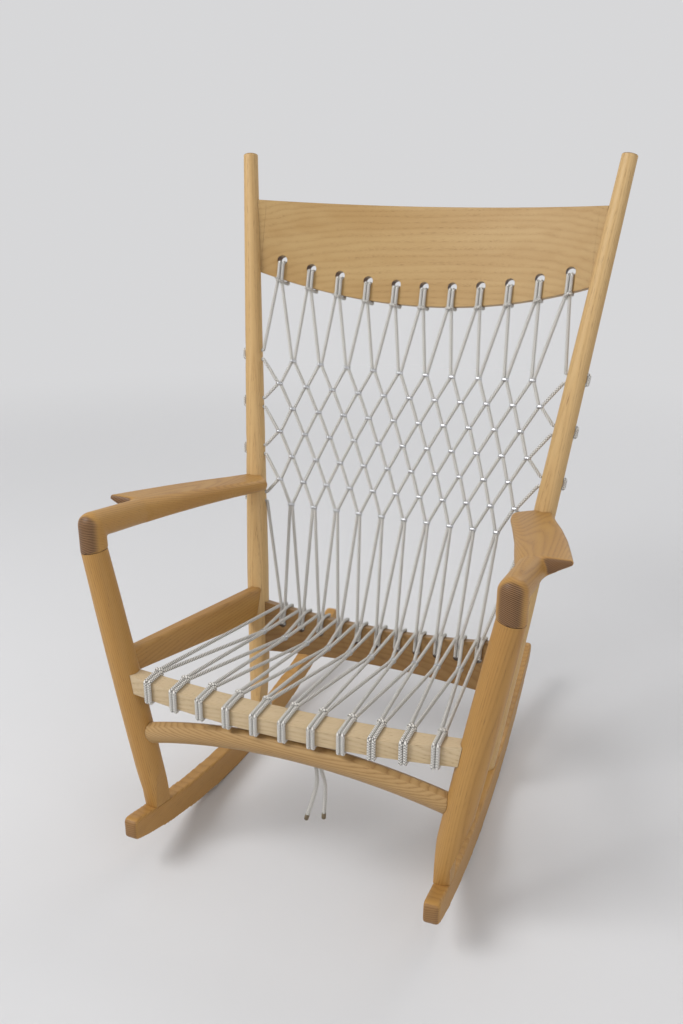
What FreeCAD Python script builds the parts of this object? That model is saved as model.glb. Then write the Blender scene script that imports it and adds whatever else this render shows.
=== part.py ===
"""Rocking chair in turned and sawn hardwood, with a cord net for its back and its seat.

The frame has +Z up and the front of the chair towards -Y. The chair is the same on both sides
of the plane X = 0. The origin is on the floor under the middle of the chair's box. Lengths are in
millimetres and angles in degrees.
"""
import FreeCAD, Part
import math
import os
import Sketcher

Vector = FreeCAD.Vector
Rotation = FreeCAD.Rotation
Placement = FreeCAD.Placement

SIZES = {
    # runners
    "rocker_reach": 396.0,
    "contact_setback": 33.0,
    "rocker_radius": 1025.0,
    "rocker_upper_radius": 1307.6,
    "rocker_front_depth": 36.0,
    "rocker_tip_depth": 27.0,
    "rocker_thickness": 24.0,
    "rocker_half_gauge": 239.9,
    "rocker_toe_in": 1.72,
    "rocker_nose_radius": 9.0,
    "rocker_tip_radius": 11.0,
    # back posts
    "post_foot_across": 219.5,
    "post_foot_back": 17.5,
    "post_foot_height": 40.0,
    "post_top_across": 340.3,
    "post_top_back": 284.1,
    "post_top_height": 1071.0,
    "post_foot_radius": 17.5,
    "post_seat_radius": 20.5,
    "post_top_radius": 13.1,
    "post_shoulder_height": 190.0,
    "turning_ease": 1.5,
    # front legs
    "leg_foot_across": 233.5,
    "leg_foot_back": -318.2,
    "leg_foot_height": 65.0,
    "leg_top_across": 311.6,
    "leg_top_back": -326.8,
    "leg_top_height": 514.7,
    "leg_foot_radius": 20.3,
    "leg_swell_radius": 22.2,
    "leg_top_radius": 19.8,
    "leg_shoulder_height": 200.0,
    "leg_shave_height": 116.0,
    # arms
    "arm_elbow_rise": 39.5,
    "arm_bar_radius": 20.2,
    "arm_bar_length": 124.0,
    "arm_slope": 8.9,
    "arm_elbow_radius": 13.0,
    "arm_outer_flare": 66.7,
    "arm_inner_flare": 51.0,
    "arm_rear_thickness": 20.0,
    "arm_lip_thickness": 8.0,
    "arm_dowel_radius": 5.0,
    "arm_dowel_length": 32.0,
    # top rail, in the plane of the leaning posts
    "top_rail_drop": 221.0,
    "top_rail_thickness": 19.0,
    "top_rail_bow": 73.0,
    "top_rail_setback": 1.0,
    "top_rail_upper": 153.9,
    "top_rail_crown": 7.7,
    "top_rail_lower": 22.7,
    "top_rail_arch": 42.8,
    "top_rail_hole_radius": 8.6,
    "top_rail_hole_margin": 34.5,
    "top_rail_hole_pitch": 53.2,
    # rear seat rail, in the same plane
    "rear_rail_height": 225.0,
    "rear_rail_thickness": 22.0,
    "rear_rail_bow": 10.0,
    "rear_rail_upper": 28.2,
    "rear_rail_dip": 19.8,
    "rear_rail_lower": 38.4,
    "rear_rail_arch": 11.6,
    "rear_rail_hole_radius": 7.2,
    "rear_rail_hole_rise": 15.4,
    "rear_rail_hole_pitch": 37.8,
    # side rails
    "side_rail_thickness": 22.0,
    "side_rail_front_top": 351.0,
    "side_rail_front_bottom": 312.0,
    "side_rail_rear_top": 299.0,
    "side_rail_rear_bottom": 233.0,
    "side_rail_edge_radius": 6.0,
    # front rail
    "front_rail_front": 348.0,
    "front_rail_rear": 306.5,
    "front_rail_front_bow": 12.0,
    "front_rail_rear_bow": 8.5,
    "front_rail_top": 302.6,
    "front_rail_bottom": 278.0,
    "front_rail_top_dip": 19.7,
    "front_rail_bottom_dip": 12.5,
    # stretcher
    "stretcher_end_height": 215.0,
    "stretcher_lean": 18.9,
    "stretcher_depth": 27.0,
    "stretcher_tall": 36.0,
    # joints
    "tenon_thickness": 10.0,
    "tenon_length": 12.0,
    "tenon_shoulder": 7.0,
    "tenon_margin": 7.0,
    "foot_tenon_radius": 7.0,
    "foot_tenon_length": 16.0,
    "top_tenon_radius": 9.0,
    "top_tenon_length": 24.0,
    "glue_gap": 0.2,
    "scribe_gap": 0.2,
    "overrun": 20.0,
    # cord
    "cord_diameter": 6.0,
    "cord_gap": 0.5,
    "cord_lay": 0.3,
    "cord_crossing": 1.1,
    "post_hole_radius": 3.5,
    "post_hole_spread": 16.0,
    # back net, from its upper row of bands to its lower row
    "net_half_width": 300.0,
    "net_top_height": 694.7,
    "net_bottom_height": 448.0,
    "net_top_back": 237.0,
    "net_bottom_back": 139.0,
    "net_top_pitch": 49.8,
    "net_bottom_pitch": 43.4,
    "net_top_wing": 58.0,
    "net_bottom_wing": 38.0,
    "net_top_lift": 23.5,
    "net_bottom_lift": 14.5,
    # seat net
    "seat_band_pitch": 40.2,
    "seat_band_back": -26.7,
    "seat_band_height": 250.5,
    "seat_band_wing": 33.5,
    "seat_band_lift": 46.0,
    "seat_pair_spread": 10.0,
    "wrap_pitch": 45.1,
    "wrap_end_drop": 3.7,
    "hitch_drop": 12.0,
    # bands
    "band_wall": 0.9,
    "band_height": 3.6,
    "band_room": 1.6,
    # free tails of the cord
    "whipping_length": 10.0,
    "whipping_wall": 0.6,
}

CORDS = 11
ROWS = 7
SIDES = 6
RIM_FLATS = 6

doc = FreeCAD.newDocument("RockingChair")
sheet = doc.addObject("Spreadsheet::Sheet", "sizes")
for number, (alias, amount) in enumerate(SIZES.items(), start=1):
    sheet.set(f"A{number}", alias)
    sheet.set(f"B{number}", str(amount))
    sheet.setAlias(f"B{number}", alias)
doc.recompute()


class Size:
    """A length or an angle with its value and the sheet expression that gives it."""

    def __init__(self, value, text):
        self.value = float(value)
        self.text = text

    def join(self, other, sign, value):
        text = other.text if isinstance(other, Size) else f"({other})"
        return Size(value, f"({self.text} {sign} {text})")

    def __add__(self, other):
        return self.join(other, "+", self.value + float(other))

    def __sub__(self, other):
        return self.join(other, "-", self.value - float(other))

    def __mul__(self, other):
        return self.join(other, "*", self.value * float(other))

    def __truediv__(self, other):
        return self.join(other, "/", self.value / float(other))

    def __neg__(self):
        return Size(-self.value, f"(0 - {self.text})")

    def __float__(self):
        return self.value


class Sizes:
    """Each named cell of the sheet as a Size."""

    def __getattr__(self, alias):
        return Size(getattr(sheet, alias), f"sizes.{alias}")


size = Sizes()


def fixed(amount):
    """A length worked out from the sheet's values in this file."""
    return Size(amount, repr(float(amount)))


def root(amount):
    """The square root of a Size."""
    return Size(math.sqrt(amount.value), f"sqrt({amount.text})")


def bend(half_chord, rise):
    """Radius of the arc over a chord of this half length that rises this much."""
    return (half_chord * half_chord + rise * rise) / (rise * 2)


def sagitta(radius, across):
    """How far an arc of this radius has fallen at this distance from its middle."""
    return radius - root(radius * radius - across * across)


def fall(half_chord, rise, across):
    """The same fall as a plain number, for an arc given by its half chord and its rise."""
    radius = (half_chord ** 2 + rise ** 2) / (2 * rise)
    return radius - math.copysign(math.sqrt(radius ** 2 - across ** 2), radius)


def val(alias):
    """The plain number in one cell of the sheet."""
    return float(getattr(sheet, alias))


# Sketches and solids

def new_sketch(body, name, role):
    """An empty sketch on one of the body's own origin planes."""
    sketch = body.newObject("Sketcher::SketchObject", name)
    plane = next(item for item in body.Origin.OriginFeatures if item.Role == role)
    sketch.AttachmentSupport = [(plane, "")]
    sketch.MapMode = "FlatFace"
    return sketch


def bind(sketch, constraint, amount):
    """Add a measured constraint and tie it to the sheet."""
    index = sketch.addConstraint(constraint)
    if "sizes." in amount.text:
        sketch.setExpression(f"Constraints[{index}]", amount.text)


def arc_between(start, end, radius):
    """An arc that bulges to the right of the way from start to end, or left if radius is negative."""
    along = end - start
    reach = math.sqrt(max(radius ** 2 - (along.Length / 2) ** 2, 0))
    left = Vector(-along.y, along.x, 0).normalize()
    centre = (start + end) * 0.5 + left * math.copysign(reach, radius)
    first = math.atan2(start.y - centre.y, start.x - centre.x)
    last = math.atan2(end.y - centre.y, end.x - centre.x)
    circle = Part.Circle(centre, Vector(0, 0, 1), abs(radius))
    if radius > 0:
        return Part.ArcOfCircle(circle, first, last if last > first else last + 2 * math.pi), (1, 2)
    return Part.ArcOfCircle(circle, last, first if first > last else first + 2 * math.pi), (2, 1)


def outline(sketch, corners, arcs=None):
    """A closed outline through the corners, with arcs in place of the numbered edges."""
    arcs = arcs or {}
    places = [Vector(float(across), float(up), 0) for across, up in corners]
    count = len(places)
    ends = []
    for number, start in enumerate(places):
        end = places[(number + 1) % count]
        if number in arcs:
            edge, order = arc_between(start, end, float(arcs[number]))
        else:
            edge, order = Part.LineSegment(start, end), (1, 2)
        sketch.addGeometry(edge, False)
        ends.append(order)
    for number, order in enumerate(ends):
        after = (number + 1) % count
        sketch.addConstraint(Sketcher.Constraint("Coincident", number, order[1], after, ends[after][0]))
    for number, (across, up) in enumerate(corners):
        start = ends[number][0]
        bind(sketch, Sketcher.Constraint("DistanceX", -1, 1, number, start, float(across)), across)
        bind(sketch, Sketcher.Constraint("DistanceY", -1, 1, number, start, float(up)), up)
    for number, radius in arcs.items():
        amount = Size(abs(radius.value), f"abs({radius.text})")
        bind(sketch, Sketcher.Constraint("Radius", number, amount.value), amount)


def turned(name, stations):
    """A turned member along its own Z axis, from (radius, height) stations."""
    body = doc.addObject("PartDesign::Body", name)
    sketch = new_sketch(body, f"{name}_profile", "XZ_Plane")
    outline(sketch, [(fixed(0), stations[0][1])] + list(stations) + [(fixed(0), stations[-1][1])])
    turning = body.newObject("PartDesign::Revolution", f"{name}_turning")
    turning.Profile = sketch
    turning.ReferenceAxis = (sketch, ["V_Axis"])
    turning.Angle = 360
    return body


def prism(name, role, corners, length, place, arcs=None):
    """A board cut to an outline on one of its own planes, as thick to both sides of it."""
    body = doc.addObject("PartDesign::Body", name)
    sketch = new_sketch(body, f"{name}_outline", role)
    outline(sketch, corners, arcs)
    feature = body.newObject("PartDesign::Pad", f"{name}_board")
    feature.Profile = sketch
    feature.SideType = "Symmetric"
    feature.setExpression("Length", length.text)
    body.Placement = place
    return body


def drill(body, name, role, holes):
    """Cut round holes, given as (across, up, radius), right through a board."""
    sketch = new_sketch(body, f"{name}_holes", role)
    for number, (across, up, radius) in enumerate(holes):
        centre = Vector(float(across), float(up), 0)
        sketch.addGeometry(Part.Circle(centre, Vector(0, 0, 1), float(radius)), False)
        bind(sketch, Sketcher.Constraint("DistanceX", -1, 1, number, 3, float(across)), across)
        bind(sketch, Sketcher.Constraint("DistanceY", -1, 1, number, 3, float(up)), up)
        bind(sketch, Sketcher.Constraint("Radius", number, float(radius)), radius)
    pocket = body.newObject("PartDesign::Pocket", f"{name}_boring")
    pocket.Profile = sketch
    pocket.SideType = "Symmetric"
    pocket.Type = "ThroughAll"


def aim(start, direction, across=Vector(0, 1, 0)):
    """A placement at start whose Z axis follows direction."""
    upward = Vector(direction).normalize()
    side = across.cross(upward).normalize()
    return Placement(start, Rotation(side, upward.cross(side), upward, "ZXY"))


def boolean(kind, name, base, tool):
    """One boolean of two objects."""
    result = doc.addObject(f"Part::{kind}", name)
    result.Base = base
    result.Tool = tool
    return result


def gather(name, items):
    """Several solids as one compound."""
    group = doc.addObject("Part::Compound", name)
    group.Links = items
    return group


def pin(name, radius, length, place):
    """A round pin or bore along the Z axis of its place."""
    item = doc.addObject("Part::Cylinder", name)
    item.setExpression("Radius", radius.text)
    item.setExpression("Height", length.text)
    item.Placement = place
    return item


def block(name, length, thick, tall, place):
    """A box that runs along the X axis of its place, centred on it in Y and Z."""
    item = doc.addObject("Part::Box", name)
    item.setExpression("Length", length.text)
    item.setExpression("Width", thick.text)
    item.setExpression("Height", tall.text)
    shift = Vector(0, -float(thick) / 2, -float(tall) / 2)
    item.Placement = place.multiply(Placement(shift, Rotation()))
    return item


def formed(name, shape):
    """An object that holds a worked-out shape."""
    item = doc.addObject("Part::Feature", name)
    item.Shape = shape
    return item


def rounded(name, base, edges, radius):
    """Round the chosen edges of a base object."""
    item = doc.addObject("Part::Fillet", name)
    item.Base = base
    item.Edges = [(number, radius, radius) for number in edges]
    return item


# The axes of the posts and the legs

POST_FOOT = Vector(val("post_foot_across"), val("post_foot_back"), val("post_foot_height"))
POST_TOP = Vector(val("post_top_across"), val("post_top_back"), val("post_top_height"))
LEG_FOOT = Vector(val("leg_foot_across"), val("leg_foot_back"), val("leg_foot_height"))
LEG_TOP = Vector(val("leg_top_across"), val("leg_top_back"), val("leg_top_height"))
POST_LENGTH = (POST_TOP - POST_FOOT).Length
LEG_LENGTH = (LEG_TOP - LEG_FOOT).Length
LEAN = math.degrees(math.atan2(POST_TOP.y - POST_FOOT.y, POST_TOP.z - POST_FOOT.z))
POST_SWELL_SHARE = 0.28
LEG_SWELL_SHARE = 0.46
SWELLING_SHARES = (1.0, 0.66, 0.33)


def on_axis(foot, top, height):
    """The point of an axis at a height above the floor."""
    return foot + (top - foot) * ((height - foot.z) / (top.z - foot.z))


def on_post(height):
    """The point of the right post's axis at a height."""
    return on_axis(POST_FOOT, POST_TOP, height)


def on_leg(height):
    """The point of the right leg's axis at a height."""
    return on_axis(LEG_FOOT, LEG_TOP, height)


def post_radius(height):
    """The post's radius at a height above the floor."""
    share = (height - POST_FOOT.z) / (POST_TOP.z - POST_FOOT.z)
    part = max(share - POST_SWELL_SHARE, 0) / (1 - POST_SWELL_SHARE)
    return val("post_seat_radius") * (1 - part) + val("post_top_radius") * part


def swelling(end, widest, start, reach, extra):
    """Stations from a member's end towards its widest place, on the curve that a turner gives it."""
    return [(widest - (widest - end) * (share * share) + extra, reach - (reach - start) * share)
            for share in SWELLING_SHARES]


def post_stations(extra):
    """Stations of the post's turning, each radius a little larger by extra."""
    length = fixed(POST_LENGTH)
    swell = fixed(POST_LENGTH * POST_SWELL_SHARE)
    return swelling(size.post_foot_radius, size.post_seat_radius, fixed(0), swell, extra) + [
        (size.post_seat_radius + extra, swell),
        (size.post_top_radius + extra, length - size.turning_ease),
        (size.post_top_radius - size.turning_ease + extra, length),
    ]


def leg_stations(extra):
    """Stations of the leg's turning, each radius a little larger by extra."""
    swell = fixed(LEG_LENGTH * LEG_SWELL_SHARE)
    below = swelling(size.leg_foot_radius, size.leg_swell_radius, fixed(0), swell, extra)
    above = swelling(size.leg_top_radius, size.leg_swell_radius, fixed(LEG_LENGTH), swell, extra)
    return below + [(size.leg_swell_radius + extra, swell)] + above[::-1]


def scribe(name, foot, top, stations):
    """The outside of a member, a scribe gap larger, that shapes what meets it."""
    blank = turned(name, stations)
    blank.Placement = aim(foot, top - foot)
    return blank


# Runners

def rocker_across(back):
    """Distance of the right runner's middle plane from the chair's middle."""
    toe = math.tan(math.radians(val("rocker_toe_in")))
    return val("rocker_half_gauge") - toe * (back - val("leg_foot_back"))


def rocker_place():
    """The right runner's own frame, with Y along it and X across it."""
    middle = -val("contact_setback")
    return Placement(Vector(rocker_across(middle), middle, 0),
                     Rotation(Vector(0, 0, 1), val("rocker_toe_in")))


def runner_ends():
    """The front and rear ends of the runner in its own frame."""
    toe = math.cos(math.radians(val("rocker_toe_in")))
    return -((size.rocker_reach - size.contact_setback) / toe), (size.rocker_reach + size.contact_setback) / toe


def runner_top(back):
    """Height of the runner's upper edge under a point of the given place front to back."""
    front, rear = (float(end) for end in runner_ends())
    under = [val("rocker_radius") - math.sqrt(val("rocker_radius") ** 2 - end ** 2) for end in (front, rear)]
    start = Vector(front, under[0] + val("rocker_front_depth"), 0)
    end = Vector(rear, under[1] + val("rocker_tip_depth"), 0)
    arc, order = arc_between(start, end, val("rocker_upper_radius"))
    along = (back + val("contact_setback")) / math.cos(math.radians(val("rocker_toe_in")))
    return arc.Center.y - math.sqrt(arc.Radius ** 2 - (along - arc.Center.x) ** 2)


def runner_outline(raised, low):
    """The runner's side, its upper edge raised, or the space from low up to that edge."""
    front, rear = runner_ends()
    front_low = sagitta(size.rocker_radius, front)
    rear_low = sagitta(size.rocker_radius, rear)
    corners = [
        (front, front_low if low is None else low),
        (rear, rear_low if low is None else low),
        (rear, rear_low + size.rocker_tip_depth + raised),
        (front, front_low + size.rocker_front_depth + raised),
    ]
    arcs = {2: -size.rocker_upper_radius}
    if low is None:
        arcs[0] = size.rocker_radius
    return corners, arcs


def make_rocker(mortises):
    """The right runner, rounded at both ends and mortised for the leg and the post."""
    corners, arcs = runner_outline(fixed(0), None)
    board = prism("rocker_board", "YZ_Plane", corners, size.rocker_thickness, Placement(), arcs)
    doc.recompute()
    ends = [float(end) for end in runner_ends()]
    for name, end, radius in (("rocker_nose", ends[0], size.rocker_nose_radius),
                              ("rocker_tip", ends[1], size.rocker_tip_radius)):
        edges = [f"Edge{number}" for number, edge in enumerate(board.Shape.Edges, start=1)
                 if edge.BoundBox.XLength > val("rocker_thickness") / 2
                 and abs(edge.CenterOfMass.y - end) < val("glue_gap")]
        plain = board.Tip
        rounding = board.newObject("PartDesign::Fillet", name)
        rounding.Base = (plain, edges)
        rounding.setExpression("Radius", radius.text)
        doc.recompute()
    board.Placement = rocker_place()
    return boolean("Cut", "rocker_right", board, mortises)


def foot_tenon(name, back, grow):
    """The pin that holds a foot in the runner, or its mortise when grown."""
    top = runner_top(back)
    length = size.foot_tenon_length + size.tenon_shoulder + grow * 2
    start = Vector(rocker_across(back), back, top - float(size.foot_tenon_length + grow))
    return pin(name, size.foot_tenon_radius + grow, length, Placement(start, Rotation()))


def shaves(name, foot_back, shoulder, shave, reach):
    """The wood taken off a foot so that it comes down to the runner's thickness."""
    place = rocker_place()
    place.Base = Vector(rocker_across(foot_back), foot_back, 0)
    half = size.rocker_thickness / 2
    wide = size.rocker_thickness * 3
    inner = prism(f"{name}_inner_shave", "XZ_Plane", [
        (-wide, fixed(0)), (-half, fixed(0)), (-half, shoulder), (-wide, shoulder)],
        wide * 2, place)
    outer = prism(f"{name}_outer_shave", "XZ_Plane", [
        (half, fixed(0)), (wide, fixed(0)), (wide, shoulder), (reach, shoulder), (half, shave)],
        wide * 2, place)
    return [inner, outer]


def runner_space(name):
    """Everything up to a glue gap over the runner, where no foot may reach."""
    corners, arcs = runner_outline(size.glue_gap, -size.overrun)
    return prism(name, "YZ_Plane", corners, size.rocker_thickness * 6, rocker_place(), arcs)


# Tenons between members

def tenon(name, place, radius, thick, tall, grow):
    """A flat tenon whose place lies on the receiving member's axis and looks into the rail."""
    start = radius - val("tenon_length") - float(grow)
    length = size.tenon_length + size.tenon_shoulder + grow
    inset = place.multiply(Placement(Vector(start, 0, 0), Rotation()))
    return block(name, length, thick + grow * 2, tall + grow * 2, inset)


def tenon_pair(name, place, radius, tall):
    """A flat tenon and the mortise that it goes into."""
    none = fixed(0)
    return (tenon(f"{name}_tenon", place, radius, size.tenon_thickness, tall, none),
            tenon(f"{name}_mortise", place, radius, size.tenon_thickness, tall, size.glue_gap))


def heading(start, towards, upward=Vector(0, 0, 1)):
    """A place at start whose X axis looks along towards and whose Z axis leans to upward."""
    along = Vector(towards).normalize()
    side = Vector(upward).cross(along).normalize()
    return Placement(start, Rotation(along, side, along.cross(side), "XYZ"))


# Boards between the members

def leaning_place(height):
    """A frame on the chair's middle plane that leans with the posts."""
    return Placement(Vector(0, on_post(height).y, height), Rotation(Vector(1, 0, 0), -LEAN))


def in_leaning(height, point):
    """A point of the chair in the leaning frame."""
    return leaning_place(height).inverse().multVec(point)


def post_across_at(height, rise):
    """Distance of the post's axis from the chair's middle, at a rise in the leaning frame."""
    low = in_leaning(height, POST_FOOT)
    high = in_leaning(height, POST_TOP)
    return low.x + (high.x - low.x) * (rise - low.z) / (high.z - low.z)


class LeaningRail:
    """A bowed rail between the posts, described in the frame that leans with them."""

    def __init__(self, name, height, thickness, bow, setback, lower, arch, upper, crown):
        self.name = name
        self.height = float(height)
        self.place = leaning_place(self.height)
        self.thickness = getattr(size, thickness)
        self.bow = getattr(size, bow)
        self.setback = setback
        self.lower = lower
        self.upper = upper
        self.arch = arch
        self.crown = crown
        self.low_half = post_across_at(self.height, float(arch - lower))
        self.high_half = post_across_at(self.height, float(upper - crown))
        self.reach = max(self.low_half, self.high_half)

    def behind(self, across):
        """How far back of the posts' plane the rail's middle lies."""
        return float(self.setback + self.bow) - fall(self.reach, float(self.bow), across)

    def edge_below(self, across):
        """The lower edge's place in the leaning frame."""
        return -float(self.lower) + fall(self.low_half, float(self.arch), across)

    def edge_above(self, across):
        """The upper edge's place in the leaning frame."""
        return float(self.upper) - fall(self.high_half, float(self.crown), across)

    def point(self, across, behind, rise):
        """A point of the chair, from a place across, behind the rail's middle and up it."""
        return self.place.multVec(Vector(across, self.behind(across) + behind, rise))

    def beside(self, across, lay):
        """How far off its middle a cord lies that rests on the rail's face."""
        slope = math.asin(across / float(bend(fixed(self.reach), self.bow)))
        return float(self.thickness) / 2 + lay / math.cos(slope)

    def board(self, holes):
        """The rail before its ends are scribed: a bowed slab cut to the rail's outline."""
        reach = fixed(self.reach)
        half = self.thickness / 2
        radius = bend(reach, self.bow)
        front = self.setback - half
        back = self.setback + half
        slab = prism(f"{self.name}_slab", "XY_Plane", [
            (-reach, back), (-reach, front), (reach, front), (reach, back)],
            (self.upper + self.lower) * 2, self.place, {1: -radius, 3: radius})
        low, high = fixed(self.low_half), fixed(self.high_half)
        face = prism(f"{self.name}_face", "XZ_Plane", [
            (-low, self.arch - self.lower), (low, self.arch - self.lower),
            (high, self.upper - self.crown), (-high, self.upper - self.crown)],
            (self.bow + self.thickness) * 3, self.place,
            {0: bend(low, self.arch), 2: bend(high, self.crown)})
        doc.recompute()
        drill(face, self.name, "XZ_Plane", holes)
        return boolean("Common", f"{self.name}_board", slab, face)

    def end_place(self, rise):
        """The place on the right post's axis that looks along the rail's middle line."""
        across = post_across_at(self.height, rise)
        step = val("overrun")
        start = self.point(across, 0, rise)
        inward = self.point(across - step, 0, rise) - start
        axis = self.place.multVec(Vector(across, 0, rise))
        return heading(axis, inward, self.place.Rotation.multVec(Vector(0, 0, 1)))


TOP_RAIL = LeaningRail("top_rail", size.post_top_height - size.top_rail_drop, "top_rail_thickness",
                       "top_rail_bow", size.top_rail_setback, size.top_rail_lower, size.top_rail_arch,
                       size.top_rail_upper, size.top_rail_crown)
REAR_RAIL = LeaningRail("rear_seat_rail", size.rear_rail_height, "rear_rail_thickness", "rear_rail_bow",
                        fixed(0), size.rear_rail_lower, -size.rear_rail_arch,
                        size.rear_rail_upper, -size.rear_rail_dip)


def place_of(cord, pitch):
    """Distance across of a cord or of a band, counted in pitches from the middle."""
    return (cord - (CORDS - 1) / 2) * pitch


def top_hole(cord):
    """Across and up of one hole of the top rail."""
    across = size.top_rail_hole_pitch * (cord - (CORDS - 1) / 2)
    radius = bend(fixed(TOP_RAIL.low_half), size.top_rail_arch)
    return across, size.top_rail_hole_margin - size.top_rail_lower + sagitta(radius, across)


def rear_hole(cord):
    """Across and up of one hole of the rear seat rail."""
    across = size.rear_rail_hole_pitch * (cord - (CORDS - 1) / 2)
    half = fixed(REAR_RAIL.high_half)
    return across, sagitta(bend(half, size.rear_rail_hole_rise), across)


def make_leaning_rail(rail, holes, radius, post_scribe, rises):
    """One of the two bowed rails, with its end tenons, and the mortises for the right post."""
    board = rail.board([(across, up, radius) for across, up in holes])
    left_scribe = doc.addObject("Part::Mirroring", f"{rail.name}_left_scribe")
    left_scribe.Source = post_scribe
    left_scribe.Normal = Vector(1, 0, 0)
    scribes = gather(f"{rail.name}_scribes", [post_scribe, left_scribe])
    coped = boolean("Cut", f"{rail.name}_coped", board, scribes)
    middle = (rises[0] + rises[1]) / 2
    place = rail.end_place(middle)
    tall = fixed(rises[1] - rises[0]) - size.tenon_margin * 2
    height = place.Base.z
    right, mortise = tenon_pair(rail.name, place, post_radius(height), tall)
    left = mirrored(f"{rail.name}_left_tenon", right)
    tenons = gather(f"{rail.name}_tenons", [right, left])
    return boolean("Fuse", rail.name, coped, tenons), mortise


def mirrored(name, source):
    """The left-hand twin of a right-hand piece."""
    twin = doc.addObject("Part::Mirroring", name)
    twin.Source = source
    twin.Normal = Vector(1, 0, 0)
    return twin


def make_side_rail(leg_scribe, post_scribe):
    """The right side rail with its tenons, and its mortises for the leg and the post."""
    front_height = (val("side_rail_front_top") + val("side_rail_front_bottom")) / 2
    rear_height = (val("side_rail_rear_top") + val("side_rail_rear_bottom")) / 2
    front, rear = on_leg(front_height), on_post(rear_height)
    run = Vector(rear.x - front.x, rear.y - front.y, 0)
    turn = math.degrees(math.atan2(-run.x, run.y))
    place = Placement(Vector(front.x, front.y, 0), Rotation(Vector(0, 0, 1), turn))
    length = fixed(run.Length)
    board = prism("side_rail_board", "YZ_Plane", [
        (fixed(0), size.side_rail_front_bottom), (length, size.side_rail_rear_bottom),
        (length, size.side_rail_rear_top), (fixed(0), size.side_rail_front_top)],
        size.side_rail_thickness, place)
    doc.recompute()
    long_edges = [number for number, edge in enumerate(board.Shape.Edges, start=1)
                  if edge.Length > run.Length / 2]
    eased = rounded("side_rail_eased", board, long_edges, val("side_rail_edge_radius"))
    coped = boolean("Cut", "side_rail_coped", eased, gather("side_rail_scribes", [leg_scribe, post_scribe]))
    margins = size.tenon_margin * 2
    front_tenon, front_mortise = tenon_pair(
        "side_rail_front", heading(front, run), leg_radius(front_height),
        size.side_rail_front_top - size.side_rail_front_bottom - margins)
    rear_tenon, rear_mortise = tenon_pair(
        "side_rail_rear", heading(rear, -run), post_radius(rear_height),
        size.side_rail_rear_top - size.side_rail_rear_bottom - margins * 2)
    tenons = gather("side_rail_tenons", [front_tenon, rear_tenon])
    return boolean("Fuse", "side_rail_right", coped, tenons), front_mortise, rear_mortise


def leg_radius(height):
    """The leg's radius at a height above the floor, as the height of its swelling has it."""
    share = (height - LEG_FOOT.z) / (LEG_TOP.z - LEG_FOOT.z)
    swell = LEG_SWELL_SHARE
    if share < swell:
        drop = (val("leg_swell_radius") - val("leg_foot_radius")) * ((swell - share) / swell) ** 2
    else:
        drop = (val("leg_swell_radius") - val("leg_top_radius")) * ((share - swell) / (1 - swell)) ** 2
    return val("leg_swell_radius") - drop


class FrontRail:
    """The crescent rail between the legs."""

    def __init__(self):
        self.top = val("front_rail_top")
        self.bottom = val("front_rail_bottom")
        self.middle = (self.top + self.bottom) / 2 + val("front_rail_top_dip") / 2
        self.half = on_leg(self.middle).x

    def front(self, across):
        """Where the rail's front face lies."""
        return -val("front_rail_front") + fall(self.half, val("front_rail_front_bow"), across)

    def rear(self, across):
        """Where the rail's rear face lies."""
        return -val("front_rail_rear") - fall(self.half, val("front_rail_rear_bow"), across)

    def above(self, across):
        """Height of the rail's upper face."""
        return self.top + fall(self.half, val("front_rail_top_dip"), across)

    def below(self, across):
        """Height of the rail's under face."""
        return self.bottom + fall(self.half, val("front_rail_bottom_dip"), across)

    def make(self, leg_scribe):
        """The rail with its tenons, and its mortise for the right leg."""
        half = fixed(self.half)
        bottom, top = size.front_rail_bottom, size.front_rail_top
        front, rear = -size.front_rail_front, -size.front_rail_rear
        plan = prism("front_rail_plan", "XY_Plane", [
            (-half, front + size.front_rail_front_bow), (half, front + size.front_rail_front_bow),
            (half, rear - size.front_rail_rear_bow), (-half, rear - size.front_rail_rear_bow)],
            (top + bottom) * 2, Placement(),
            {0: bend(half, size.front_rail_front_bow), 2: bend(half, size.front_rail_rear_bow)})
        face = prism("front_rail_face", "XZ_Plane", [
            (-half, bottom + size.front_rail_bottom_dip), (half, bottom + size.front_rail_bottom_dip),
            (half, top + size.front_rail_top_dip), (-half, top + size.front_rail_top_dip)],
            size.front_rail_front * 3, Placement(),
            {0: bend(half, size.front_rail_bottom_dip), 2: -bend(half, size.front_rail_top_dip)})
        board = boolean("Common", "front_rail_board", plan, face)
        left_scribe = mirrored("front_rail_left_scribe", leg_scribe)
        coped = boolean("Cut", "front_rail_coped", board,
                        gather("front_rail_scribes", [leg_scribe, left_scribe]))
        middle = (self.above(self.half) + self.below(self.half)) / 2
        tall = top + size.front_rail_top_dip - bottom - size.front_rail_bottom_dip - size.tenon_margin * 2
        axis = on_leg(middle)
        right, mortise = tenon_pair("front_rail", heading(axis, Vector(-1, 0, 0)), leg_radius(middle), tall)
        left = mirrored("front_rail_left_tenon", right)
        return boolean("Fuse", "front_rail", coped, gather("front_rail_tenons", [right, left])), mortise


FRONT_RAIL = FrontRail()


STRETCHER_WIDE_SHARES = (0.35, 0.78, 1.0)
STRETCHER_TALL_SHARES = (1.0, 0.7, 0.25)


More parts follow.
